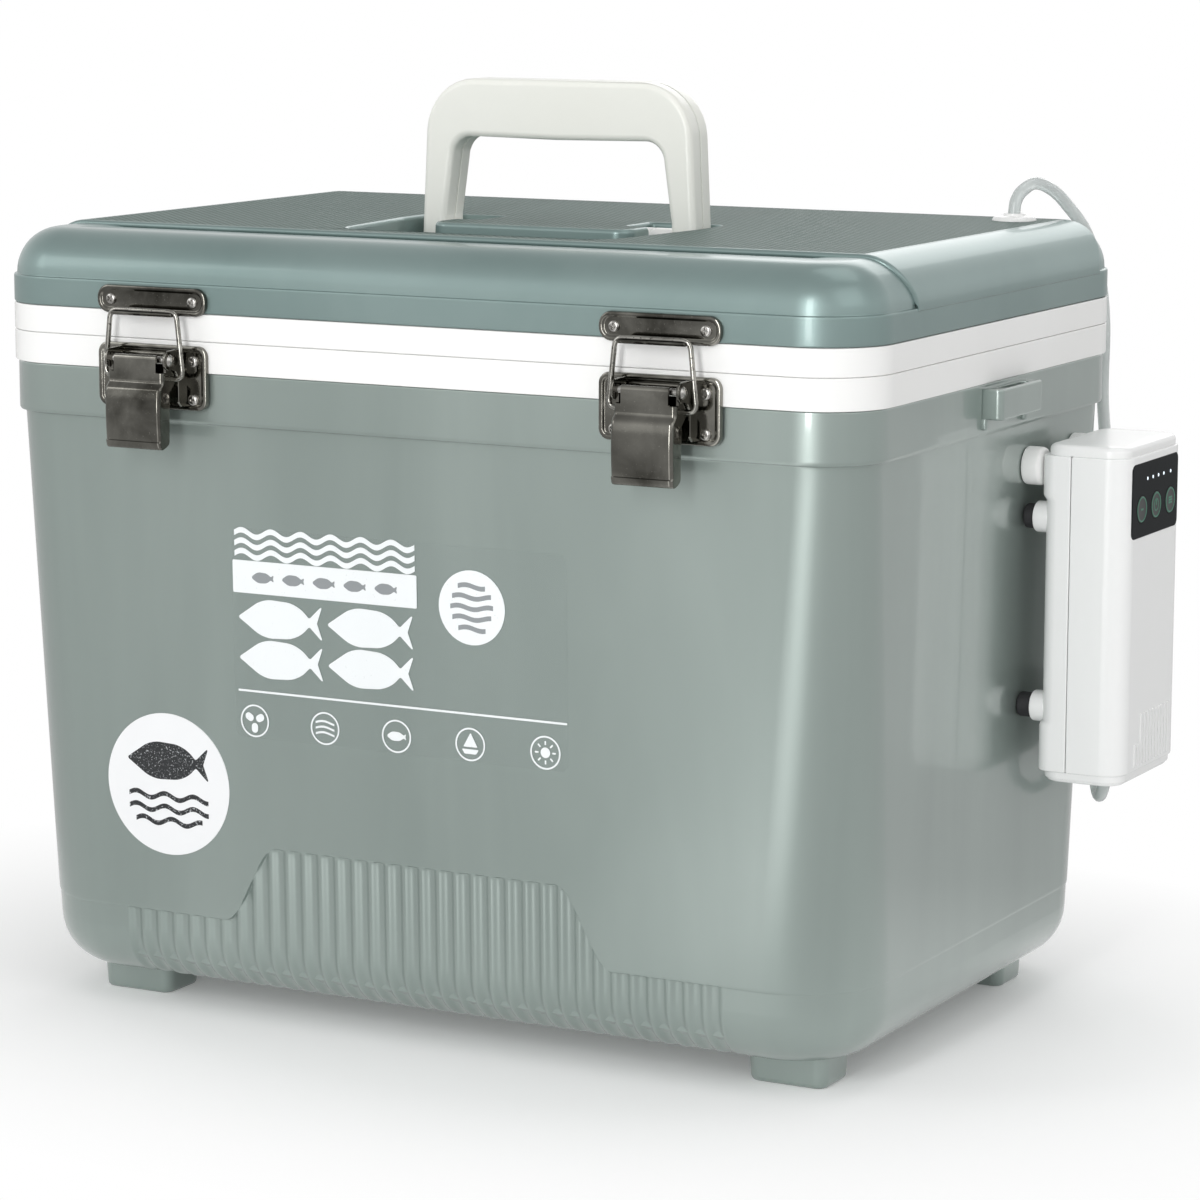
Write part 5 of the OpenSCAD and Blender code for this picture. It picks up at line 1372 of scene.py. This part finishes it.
@dataclass
class Latch:
    """One draw latch: base plate with ears, rivet, lever, wire bail and strike."""

    side: Side
    plate_half: tuple[float, float] = (29.6, 14.8)
    plate_z: tuple[float, float] = (290.4, 320.0)
    plate_t: float = 2.5
    field_t: float = 1.65
    strike_z: tuple[float, float] = (333.4, 346.4)
    pivot: tuple[float, float] = (-166.5, 314.0)
    lever_half: float = 15.0
    sheet: float = 1.2
    ear_gap: float = 0.3
    notch: tuple[float, float] = (11.4, 16.0)
    bail_y: float = -162.9
    bail_z: tuple[float, float] = (305.4, 336.0)
    bail_half: tuple[float, float, float] = (13.2, 21.3, 18.0)
    bend_r: float = 4.2
    wire_r: float = 1.2

    def dress(self, form: Form, part: str, way: str, body: str, look: str, slot: str) -> None:
        """Moves a form from the latch's middle to its place and makes its piece.

        Args:
            form: the form.
            part: the node's name without its side.
            way: how the part is made, as the last word of the piece's name.
            body: the body that it rides on.
            look: its finish.
            slot: its material slot; not used.
        """
        node = part + "_" + self.side.word
        form.moved(self.shift()).dressed(f"{node}_{way}", body, node, look, 35, slot)

    def shift(self) -> Matrix:
        """Moves a piece drawn round the latch's middle to its place."""
        return Matrix.Translation((self.side.value * LATCH_X, 0, 0))

    def from_side(self) -> Matrix:
        """Turns a drawing of the distance from the rim and the height upright, its depth along x."""
        return Matrix(((0, 0, 1, 0), (-1, 0, 0, -RIM[1]), (0, 1, 0, 0), (0, 0, 0, 1)))

    def pressed(self, outline: Outline, rim: float) -> Form:
        """A pressed plate with a rolled rim round a sunk field, its back at local z 0."""
        t, f = self.plate_t, self.field_t
        levels = ((-0.25, 0.0), (0.0, 0.35), (0.0, t - 0.9), (-0.22, t - 0.3), (-0.75, t),
                  (-rim + 0.5, t), (-rim, t - 0.2), (-rim - 0.45, f + 0.15), (-rim - 1.0, f))
        return Form().stack(outline, levels)

    def base(self) -> None:
        """Builds the base plate with its bead and ears."""
        low, high = self.plate_z
        middle = (low + high) / 2
        form = self.pressed(Outline.centred(*self.plate_half, 5.0, 8), 2.2)
        bead = Outline.centred(15.0, 1.7, 1.6, 8)
        form.add(Form().stack(bead, ((0.0, 1.0), (0.0, 1.9), (-0.35, 2.4), (-0.9, 2.6))),
                 Matrix.Translation((0, high - middle - 5.2, 0)))
        form.moved(Facing.FRONT.at(0, -RIM[1], middle))
        out, z = -RIM[1] - self.pivot[0], self.pivot[1]
        ear = Outline(((0.4, z + 5, 0.3), (0.4, low + 1.5, 0.3), (2.5, low + 1.5, 0.5), (5.2, low + 4, 1.5),
                       (5.2, z - 8, 1.0), (out - 4.6, z - 5.2, 1.5), (out - 2.5, z - 4.4, 1.0),
                       (out + 4.4, z - 4.4, 4.2), (out + 4.4, z + 4.4, 4.2)), 6)
        ear_x = self.lever_half + self.ear_gap + self.sheet / 2
        for x in (-ear_x, ear_x):
            sheet = Form().stack(ear, ((-0.25, -0.6), (0.0, -0.35), (0.0, 0.35), (-0.25, 0.6)))
            form.add(sheet, Matrix.Translation((x, 0, 0)) @ self.from_side())
        self.dress(form, "latch_base", "pressed", "tub", "latch_steel", "latch_steel")

    def rivet(self) -> None:
        """Turns the pivot rivet with its domed heads."""
        reach = self.lever_half + self.ear_gap + self.sheet
        profile = [(0.0, -reach - 1.6), (1.2, -reach - 1.5), (2.1, -reach - 1.1), (2.8, -reach - 0.3),
                   (2.8, -reach), (1.8, -reach)]
        form = Form().turned(profile + [(r, -z) for r, z in reversed(profile)], 24)
        form.moved(Matrix.Translation((0, *self.pivot)) @ ALONG_X)
        self.dress(form, "latch_rivet", "domed", "tub", "screw_steel", "pin_steel")

    def lever(self) -> None:
        """Lofts the folded lever and cuts the notches at its upper corners."""
        # height from the pivot, face forward of it, side sheets' back edge behind it
        levels = ((-40.5, 5.5, -4.0), (-40.3, 6.2, -3.2), (-39.6, 6.8, -1.0), (-38.6, 7.0, 0.8),
                  (-37.5, 7.3, 1.4), (-37.1, 7.35, 1.5), (-36.7, 6.75, 1.5), (-36.0, 6.75, 1.5),
                  (-31.0, 7.1, 1.6), (-25.0, 7.3, 1.75), (-19.0, 7.2, 1.9), (-14.6, 6.9, 2.0),
                  (-13.4, 6.7, 3.4), (-12.4, 6.2, 4.6), (-11.6, 5.5, 5.4), (-10.8, 4.5, 5.8),
                  (-10.0, 4.05, 5.8), (-9.0, 4.0, 5.8), (-4.0, 4.0, 5.8), (0.6, 4.0, 5.0),
                  (1.6, 3.8, 4.4), (2.2, 3.3, 3.8), (2.4, 2.9, 3.4))
        h, t = self.lever_half, self.sheet
        y, z = self.pivot
        rings = []
        for up, face, back in levels:
            y0, y1 = y - face, y + back
            channel = Outline(((-h, y1, 0.25), (-h, y0, 1.9), (h, y0, 1.9), (h, y1, 0.25), (h - t, y1, 0.25),
                               (h - t, y0 + t, 0.7), (-h + t, y0 + t, 0.7), (-h + t, y1, 0.25)), 5)
            rings.append(channel.ring(z + up))
        name = "latch_lever_" + self.side.word
        obj = Form().lofted(rings).moved(self.shift()).piece(name + "_folded", "latch_steel", sharp=35)
        near, far = self.notch
        notches = Form()
        for x0, x1 in ((-far, -near), (near, far)):
            notches.block((x0, y - 6.0, z - 5.6), (x1, y - 0.9, z + 4.0), 0.5)
        carve(obj, notches.moved(self.shift()))
        settle(weighted(obj), name, "latch_steel", name)

    def bail(self) -> None:
        """Bends the wire bail from the lever up to the strike."""
        y, (low, high) = self.bail_y, self.bail_z
        foot, wide, narrow = self.bail_half
        line = rounded_path(((-foot, y, low), (-wide, y, low), (-narrow, y, high), (narrow, y, high),
                             (wide, y, low), (foot, y, low)), self.bend_r)
        name = "latch_bail_" + self.side.word
        obj = wire(name + "_bent", [IN_METRES @ self.shift() @ p for p in line], self.wire_r, "wire_steel")
        settle(obj, name, "wire_steel", name)

    def strike(self) -> None:
        """Builds the strike with the curled lip that takes the bail."""
        low, high = self.strike_z
        form = self.pressed(Outline.centred(self.plate_half[0], (high - low) / 2, 6.0, 10), 1.9)
        form.moved(Facing.FRONT.at(0, -RIM[1], (low + high) / 2))
        lip = Outline(((0.5, low + 0.1, 0.3), (10.2, low + 0.1, 1.0), (11.2, low + 1.5, 0.4),
                       (10.4, low + 1.9, 0.3), (9.4, low + 1.0, 0.5), (2.4, low + 1.0, 0.8),
                       (1.0, low + 4.2, 0.5)), 6)
        form.add(Form().stack(lip, ((-0.3, -16.6), (-0.1, -16.35), (0.0, -16.0), (0.0, 16.0), (-0.1, 16.35),
                                    (-0.3, 16.6))), self.from_side())
        self.dress(form, "strike", "pressed", "lid", "latch_steel", "latch_steel")

    def build(self) -> None:
        """Builds the latch's pieces."""
        self.base()
        self.rivet()
        self.lever()
        self.bail()
        self.strike()


@dataclass
class Screws:
    """Every small screw of latches and hinges, in the groups that the solids have."""

    hinge_x: float = 125.0
    plate_x: float = 22.2
    leaf_x: float = 20.0
    # how far the plates' sunk field and the hinge leaves stand out from the rim
    plate_t: float = 1.65
    leaf_t: float = 1.6
    base_z: tuple[float, float] = (313.0, 295.4)
    strike_z: float = 339.9
    hinge_z: tuple[float, float] = (303.0, 341.0)

    def group(self, name: str, body: str, facing: Facing, middle: float, reach: float,
              heights: Sequence[float]) -> None:
        """Makes one piece of the screws of both plates, each turned a little differently.

        Args:
            name: what the screws hold, which starts the names of the node and the piece.
            body: the body that it rides on.
            facing: the way that the heads face.
            middle: distance of a plate's middle from the tub's middle.
            reach: distance of a screw from the plate's middle.
            heights: the screws' heights.
        """
        y = -RIM[1] - self.plate_t if facing is Facing.FRONT else RIM[1] + self.leaf_t
        places = [facing.at(s * middle + x * reach, y, z) for s in (-1, 1) for x in (-1, 1) for z in heights]
        form = Form()
        for i, place in enumerate(places):
            form.add(PanScrew().form(), place @ Matrix.Rotation(0.7 + 1.9 * i, 4, "Z"))
        form.dressed(name + "_screw_set", body, name + "_screws", "screw_steel", 35)

    def build(self) -> None:
        """Builds the four groups."""
        self.group("latch_base", "tub", Facing.FRONT, LATCH_X, self.plate_x, self.base_z)
        self.group("strike", "lid", Facing.FRONT, LATCH_X, self.plate_x, (self.strike_z,))
        for body, z in zip(("tub", "lid"), self.hinge_z):
            self.group("hinge_" + body, body, Facing.BACK, self.hinge_x, self.leaf_x, (z,))


# ---------------------------------------------------------------- pump


@dataclass
class Pump:
    """The battery air pump on the right-hand end of the tub."""

    # the case's back, its parting and its face, then its sides and its ends
    x: tuple[float, float, float] = (232.0, 246.0, 273.0)
    y: tuple[float, float] = (32.0, 108.0)
    z: tuple[float, float] = (122.0, 270.0)
    r: float = 11.0
    wall: float = 2.5
    parting_gap: float = 0.15
    panel_y: tuple[float, float] = (40.5, 99.5)
    panel_z: tuple[float, float] = (232.0, 266.5)
    button_y: tuple[float, float, float] = (52.6, 71.0, 89.4)
    button_z: float = 245.0
    light_y: tuple[float, ...] = (59.5, 66.5, 73.5, 80.5, 89.5)
    light_z: float = 258.6
    grip_ribs: int = 13
    grip_pitch: float = 3.9
    outlet: tuple[float, float] = (242.0, 94.0)
    outlet_r: float = 4.05
    bumper_y: tuple[float, float] = (42.0, 98.0)
    bumper_z: tuple[float, float] = (151.0, 240.0)
    # where the lower and the upper bumpers start at the leaning wall, and where all of them end
    bumper_x: tuple[float, float, float] = (218.3, 220.1, 225.98)
    knob_x: tuple[float, float] = (220.5, 230.1)
    knob_z: float = 263.5

    def holes(self, button: Form, light: Form) -> Form:
        """A form at every button and another at every light, on the case's face."""
        form = Form()
        for shape, places, z in ((button, self.button_y, self.button_z), (light, self.light_y, self.light_z)):
            for y in places:
                form.add(shape, Facing.END.at(0, y, z))
        return form

    def front_case(self) -> None:
        """Builds the front half with its grip ribs, and cuts the panel's pocket and bores."""
        x1, x2 = self.x[1] + self.parting_gap, self.x[2]
        (y0, y1), (low, high), w, r = self.y, self.z, self.wall, self.r
        half = Outline(((x1, y0, 0.5), (x2, y0, r), (x2, y1, r), (x1, y1, 0.5), (x1, y1 - w, 0.2),
                        (x2 - w, y1 - w, r - w), (x2 - w, y0 + w, r - w), (x1, y0 + w, 0.2)), 8)
        form = Form().stack(half, ((-0.9, low), (-0.3, low + 0.25), (0.0, low + 0.9), (0.0, high - 0.9),
                                   (-0.3, high - 0.25), (-0.9, high)))
        for i in range(self.grip_ribs):
            y = 46.5 + i * self.grip_pitch
            top = 148.5 if y > 56 else 135.0
            form.block((x2 - 1.0, y - 1.1, 124.2), (x2 + 0.45, y + 1.1, top), 0.42, 2)
        obj = form.piece("pump_case_front", "pump_plastic", sharp=40)
        pocket = Form().stack(Outline.box(*self.panel_y, *self.panel_z, 2.9, 6).grown(0.1),
                              ((0.0, x2 - 1.2), (0.0, x2 + 4.0)))
        bores = ((0.0, x2 - 6), (0.0, x2 - 1.0))
        button, light = (Form().stack(Outline.circle(r, steps), bores) for r, steps in ((4.6, 6), (1.1, 3)))
        carve(obj, pocket.moved(Facing.END.at(0, 0, 0)).add(self.holes(button, light)))
        settle(weighted(obj), "tub", "pump_plastic", "pump_front_case")

    def rear_case(self) -> None:
        """Builds the rear half, set back between its ends, with the bosses of the bumpers."""
        x0, x1 = self.x[0], self.x[1] - self.parting_gap
        (y0, y1), (low, high), w = self.y, self.z, self.wall
        rings = []
        for by, z, back in ((-0.9, low, -1.6), (-0.3, low + 0.25, -1.6), (0.0, low + 0.9, -1.6),
                            (0.0, 143.0, -1.6), (0.0, 144.2, -1.2), (0.0, 145.6, 0.0),
                            (0.0, 249.0, 0.0), (0.0, 250.4, -1.2),
                            (0.0, 251.6, -1.6), (0.0, high - 0.9, -1.6), (-0.3, high - 0.25, -1.6),
                            (-0.9, high, -1.6)):
            xb = x0 + back
            half = Outline(((x1, y1, 0.5), (xb, y1, 7.5), (xb, y0, 7.5), (x1, y0, 0.5), (x1, y0 + w, 0.2),
                            (x0 + w, y0 + w, 5.0), (x0 + w, y1 - w, 5.0), (x1, y1 - w, 0.2)), 8)
            rings.append(half.grown(by).ring(z))
        form = Form().lofted(rings)
        boss = Form().turned([(2.5, 1.6), (2.5, -5.6), (2.9, -6.0), (6.3, -6.0), (7.0, -5.7), (7.3, -5.0),
                              (7.3, 1.0), (7.0, 1.6), (2.5, 1.6)])
        for y in self.bumper_y:
            for z in self.bumper_z:
                form.add(boss, Matrix.Translation((x0, y, z)) @ ALONG_X)
        form.dressed("pump_case_rear", "tub", "pump_rear_case", "pump_plastic", 40)

    def caps(self) -> None:
        """Lofts the stepped caps at both ends of the case."""
        low, high = self.z
        plan = Outline.box(self.x[0] - 1.0, self.x[2], *self.y, self.r, 8)
        top = ((-3.2, 0.0), (-1.2, 0.0), (-1.15, 2.4), (-1.35, 3.3), (-1.9, 4.1), (-2.9, 4.7), (-4.4, 5.0),
               (-12.0, 5.0))
        bottom = ((-12.0, -5.0), (-4.2, -5.0), (-3.2, -4.8), (-2.5, -4.2), (-2.3, -3.4), (-1.5, -3.2),
                  (-1.25, -2.6), (-1.2, 0.0), (-3.2, 0.0))
        Form().stack(plan, [(by, high + z) for by, z in top]).dressed(
            "pump_cap_top", "tub", "pump_top_cap", "pump_plastic", 40)
        form = Form().stack(plan, [(by, low + z) for by, z in bottom])
        obj = form.piece("pump_cap_bottom", "pump_plastic", sharp=40)
        r = self.outlet_r
        bore = Form().turned([(0.0, low - 12), (r, low - 12), (r, low + 8), (0.0, low + 8)])
        carve(obj, bore.moved(Matrix.Translation((*self.outlet, 0))))
        settle(weighted(obj), "tub", "pump_plastic", "pump_bottom_cap")

    def panel(self) -> None:
        """Builds the black panel with its holes for buttons and lights."""
        x2 = self.x[2]
        film = Outline.box(*self.panel_y, *self.panel_z, 3.0, 8)
        form = Form().stack(film, ((0.0, x2 - 1.1), (0.0, x2 - 0.12), (-0.25, x2 + 0.1), (-3.0, x2 + 0.1)))
        obj = form.moved(Facing.END.at(0, 0, 0)).piece("pump_panel_film", "panel_black", sharp=30)
        button, light = (Form().turned([(0.0, x2 - 5), (r, x2 - 5), (r, x2 + 5), (0.0, x2 + 5)], steps)
                         for r, steps in ((6.4, 40), (0.9, 16)))
        carve(obj, self.holes(button, light))
        settle(obj, "tub", "panel_black", "pump_panel")

    def buttons(self) -> None:
        """Turns the three buttons, each with a green ring and a plain mark."""
        bars = {"slow": ((0.0, 0.0, 1.6, 0.45),), "power": ((0.0, 1.4, 0.45, 1.7),),
                "fast": tuple((0.0, v, 2.4, 0.45) for v in (1.2, 0.0, -1.2))}
        for (word, marks), y in zip(bars.items(), self.button_y):
            form = Form().turned([(0.0, -4.3), (4.2, -4.3), (4.2, -0.5), (6.1, -0.5), (6.1, 0.15),
                                  (5.95, 0.3), (5.85, 0.42), (5.35, 0.42), (5.25, 0.3), (4.6, 0.24),
                                  (0.0, 0.22)], 48)
            form.paint(1, lambda f: 5.2 < f.calc_center_median().xy.length < 5.98
                       and f.calc_center_median().z > 0.28)
            for u, v, wide, tall in marks:
                bar = Outline.centred(wide, tall, 0.4, 4)
                form.add(Form().stack(bar, ((0.0, 0.2), (0.0, 0.3), (-0.06, 0.34))).paint(1),
                         Matrix.Translation((u, v, 0)))
            if word == "power":
                rim = [Outline.circle(r, 8).ring(z)
                       for r, z in ((2.4, 0.2), (2.4, 0.34), (3.0, 0.34), (3.0, 0.2))]
                form.add(Form().lofted(rim, round_trip=True).paint(1))
            form.moved(Facing.END.at(self.x[2], y, self.button_z))
            obj = form.piece(f"button_{word}_cap", "button_rubber", "button_ring", sharp=30)
            settle(obj, "button_" + word, "button_rubber", "pump_button_" + word)

    def lights(self) -> None:
        """Turns the five small light domes."""
        form = Form()
        dome = Form().turned([(0.0, -5.0), (0.85, -5.0), (0.85, 0.0), (0.7, 0.2), (0.4, 0.32),
                              (0.0, 0.36)], 16)
        for y in self.light_y:
            form.add(dome, Facing.END.at(self.x[2], y, self.light_z))
        settle(form.piece("pump_light_domes", "light_lens", sharp=50), "tub", "light_lens", "pump_lights")

    def hangers(self) -> None:
        """Turns the rubber bumpers and the knobs that hang the pump."""
        *starts, end = self.bumper_x
        bumpers = Form()
        for y in self.bumper_y:
            for z, start in zip(self.bumper_z, starts):
                long = end - start
                pad = Form().turned([(0.0, 0.0), (5.0, 0.0), (5.6, 0.3), (5.8, 0.9), (5.8, long - 1.6),
                                     (5.4, long - 1.2), (5.4, long), (2.45, long), (2.45, long + 3.4),
                                     (0.0, long + 3.4)])
                bumpers.add(pad, Matrix.Translation((start + 0.9, y, z)) @ ALONG_X)
        bumpers.dressed("pump_bumper_pads", "tub", "pump_bumpers", "bumper_rubber", 38)
        start, end = self.knob_x
        long = end - start
        knobs = Form()
        knob = Form().turned([(2.1, 0.0), (8.0, 0.0), (8.6, 0.3), (8.9, 1.0), (8.9, long - 2.4),
                              (8.5, long - 1.2), (7.6, long - 0.5), (6.5, long), (3.0, long),
                              (3.0, long + 4.4), (2.1, long + 4.4), (2.1, 0.0)], 40)
        for y in self.bumper_y:
            knobs.add(knob, Matrix.Translation((start, y, self.knob_z)) @ ALONG_X)
        knobs.dressed("pump_knobs", "tub", "pump_hanger_knobs", "white_plastic", 38)

    def build(self) -> None:
        """Builds every piece of the pump."""
        self.front_case()
        self.rear_case()
        self.caps()
        self.panel()
        self.buttons()
        self.lights()
        self.hangers()


# ---------------------------------------------------------------- labels


@dataclass
class Labels:
    """Plain printed marks on the round sticker and on the clear label, without words."""

    sticker: tuple[float, float] = (-132.0, 112.0)
    label: tuple[float, float] = (-6.0, 188.0)
    label_half: tuple[float, float] = (87.5, 49.0)
    film_t: float = 0.3
    ink_t: float = 0.08
    # the front wall's height, its lean over that height, and half the tub's depth at its top
    wall_z: tuple[float, float] = (39.0, 283.6)
    wall_lean: float = 4.9
    wall_y: float = 149.8
    # places on the label: heights of the waves, the fish and the marks, and the middle of each column
    wave_z: tuple[float, float, float] = (234.6, 229.8, 225.0)
    bar: tuple[float, float] = (-44.2, 214.4)
    fish_x: tuple[float, float] = (-68.0, -20.0)
    fish_z: tuple[float, float] = (195.5, 176.5)
    line_z: float = 161.0
    mark_x: tuple[float, float, float, float, float] = (-83.0, -45.0, -7.0, 31.5, 70.0)
    mark_z: float = 147.0
    badge: tuple[float, float] = (33.2, 209.5)

    def on_wall(self, x: float, z: float) -> Matrix:
        """Places a flat drawing on the sloping front wall."""
        low, high = self.wall_z
        y = self.wall_lean * (high - z) / (high - low) - self.wall_y - 0.02
        tilt = math.atan(self.wall_lean / (high - low))
        return Matrix.Translation((x, y, z)) @ Matrix.Rotation(math.pi / 2 + tilt, 4, "X")

    @property
    def ink(self) -> tuple[float, float]:
        """Lower and upper face of the ink, from the wall."""
        top = self.film_t + 0.03
        return top - self.ink_t, top

    def patch(self, outline: Outline) -> Form:
        """A printed patch as thin as ink."""
        return Form().stack(outline, [(0.0, z) for z in self.ink])

    def hoop(self, r: float, line: float) -> Form:
        """A printed ring."""
        low, top = self.ink
        walls = ((r, low), (r, top), (r - line, top), (r - line, low))
        return Form().lofted([Outline.circle(q, 10).ring(z) for q, z in walls], round_trip=True)

    def fish(self, length: float) -> Form:
        """A plain fish: a pointed oval and a forked tail."""
        half, h = length / 2, length * 0.2
        under = ((-length * 0.2, -h, h * 1.6), (length * 0.2, -h * 0.9, h * 1.6),
                 (length * 0.34, -h * 0.2, 1.0), (half, -h * 0.95, 0.6))
        over = tuple((x, -y, r) for x, y, r in reversed(under))
        return self.patch(Outline(((-half, 0, 1.0), *under, (length * 0.43, 0, 0.6), *over), 5))

    def wave(self, length: float, rise: float, line: float) -> Form:
        """A printed wavy line along local x."""
        low, top = self.ink
        count = max(int(length * 1.2), 24)
        run = [i / count for i in range(count + 1)]
        rise_at = {t: rise * math.sin(math.tau * t * length / 16.0) for t in run}
        rows = [[Vector((length * (t - 0.5), v + rise_at[t], z)) for t in run] for v, z in
                ((-line / 2, low), (-line / 2, top), (line / 2, top), (line / 2, low))]
        return Form().lofted(rows + [rows[0]], closed=False)

    def white_print(self) -> Form:
        """The label's white marks: waves, a bar, four fish, a line, five ringed marks and a badge.

        Returns:
            The marks, drawn flat round the label's middle.
        """
        form = Form()
        for z in self.wave_z:
            form.add(self.wave(96.0, 1.5, 2.6), self.at(-44.0, z))
        form.add(self.patch(Outline.centred(49.0, 7.6, 0.6, 3)), self.at(*self.bar))
        for z in self.fish_z:
            for x in self.fish_x:
                form.add(self.fish(46.0), self.at(x, z))
        form.add(self.patch(Outline.centred(86.4, 0.5, 0.3, 3)), self.at(-5.2, self.line_z))
        places = [self.at(x, self.mark_z) for x in self.mark_x]
        for place in places:
            form.add(self.hoop(7.7, 0.8), place)
        petals, waves, fish, boat, sun = places
        for k in range(3):
            turn = Matrix.Rotation(math.tau * k / 3 + 0.5, 4, "Z") @ Matrix.Translation((3.3, 0, 0))
            form.add(self.patch(Outline.centred(2.3, 1.7, 1.65, 6)), petals @ turn)
        for v in (2.6, 0.0, -2.6):
            form.add(self.wave(10.0, 0.8, 1.0), waves @ Matrix.Translation((0, v, 0)))
        form.add(self.fish(11.0), fish)
        form.add(self.patch(Outline(((-3.6, -1.2, 0.3), (3.8, -1.2, 0.3), (0.2, 5.4, 0.3)), 2)), boat)
        hull = Outline(((-4.4, -2.2, 0.3), (-3.0, -4.4, 0.8), (3.0, -4.4, 0.8), (4.4, -2.2, 0.3)), 2)
        form.add(self.patch(hull), boat).add(self.patch(Outline.circle(2.4, 10)), sun)
        for k in range(8):
            turn = Matrix.Rotation(math.tau * k / 8, 4, "Z") @ Matrix.Translation((4.4, 0, 0))
            form.add(self.patch(Outline.centred(0.95, 0.4, 0.3, 2)), sun @ turn)
        return form.add(self.patch(Outline.circle(17.0, 10)), self.at(*self.badge))

    def grey_print(self) -> Form:
        """The label's grey marks, waves on the badge and fish on the bar, just above the white ones."""
        form = Form()
        for v, length in ((9.6, 14.0), (4.8, 20.0), (0.0, 22.0), (-4.8, 20.0), (-9.6, 14.0)):
            form.add(self.wave(length, 0.7, 2.2), self.at(self.badge[0], self.badge[1] + v))
        for k in range(5):
            form.add(self.fish(13.0), self.at(-77.0 + 16.4 * k, self.bar[1]))
        return form.moved(Matrix.Translation((0, 0, 0.03)))

    def at(self, x: float, z: float) -> Matrix:
        """A place on the label, from its middle."""
        return Matrix.Translation((x - self.label[0], z - self.label[1], 0))

    def clear_label(self) -> None:
        """Lays the clear film and prints its marks."""
        place = self.on_wall(*self.label)
        t = self.film_t
        film = Form().stack(Outline.centred(*self.label_half, 4.0, 6),
                            ((0.0, 0.08), (0.0, t - 0.05), (-0.05, t)))
        settle(film.moved(place).piece("label_film", "clear_film"), "tub", "clear_film", "clear_label")
        settle(self.white_print().moved(place).piece("label_print_white", "print_white"), "tub", "sticker")
        settle(self.grey_print().moved(place).piece("label_print_grey", "print_grey"), "tub", "sticker")

    def round_sticker(self) -> None:
        """Prints the round sticker: a black fish over waves."""
        form = Form().add(self.fish(46.0), Matrix.Translation((0, 11.0, 0)))
        for v in (-6.0, -12.0, -18.0):
            form.add(self.wave(48.0 - abs(v + 9) * 1.2, 1.3, 2.3), Matrix.Translation((0, v, 0)))
        form.moved(self.on_wall(*self.sticker))
        settle(form.piece("sticker_print", "print_black"), "tub", "sticker")

    def build(self) -> None:
        """Prints both labels."""
        self.clear_label()
        self.round_sticker()


# ---------------------------------------------------------------- the solids' own finishes


class Solids:
    """Gives every CAD node the finish of its slot."""

    def build(self) -> None:
        """Dresses the nodes."""
        slots = {row["node"]: row["material_slot"] for row in frame["record"]["subparts"]}
        for name, obj in frame["nodes"].items():
            obj.data.materials.clear()
            obj.data.materials.append(PAINT[slots[name]])


def main() -> None:
    """Builds the scene, the camera and the air line first."""
    logging.basicConfig(level=logging.INFO, format="%(name)s: %(message)s")
    builders = {"studio": Studio(), "air line": AirLine(), "tub": Tub(), "lid": Lid(), "handle": Handle()}
    builders |= {"latch " + side.word: Latch(side) for side in Side}
    builders |= {"screws": Screws(), "pump": Pump(), "labels": Labels(), "solids": Solids()}
    for title, builder in builders.items():
        before = set(bpy.data.objects.keys())
        builder.build()
        made = sorted(set(bpy.data.objects.keys()) - before)
        log.info("%s built: %s", title, ", ".join(made) or "finishes only")


if __name__ == "__main__":
    main()
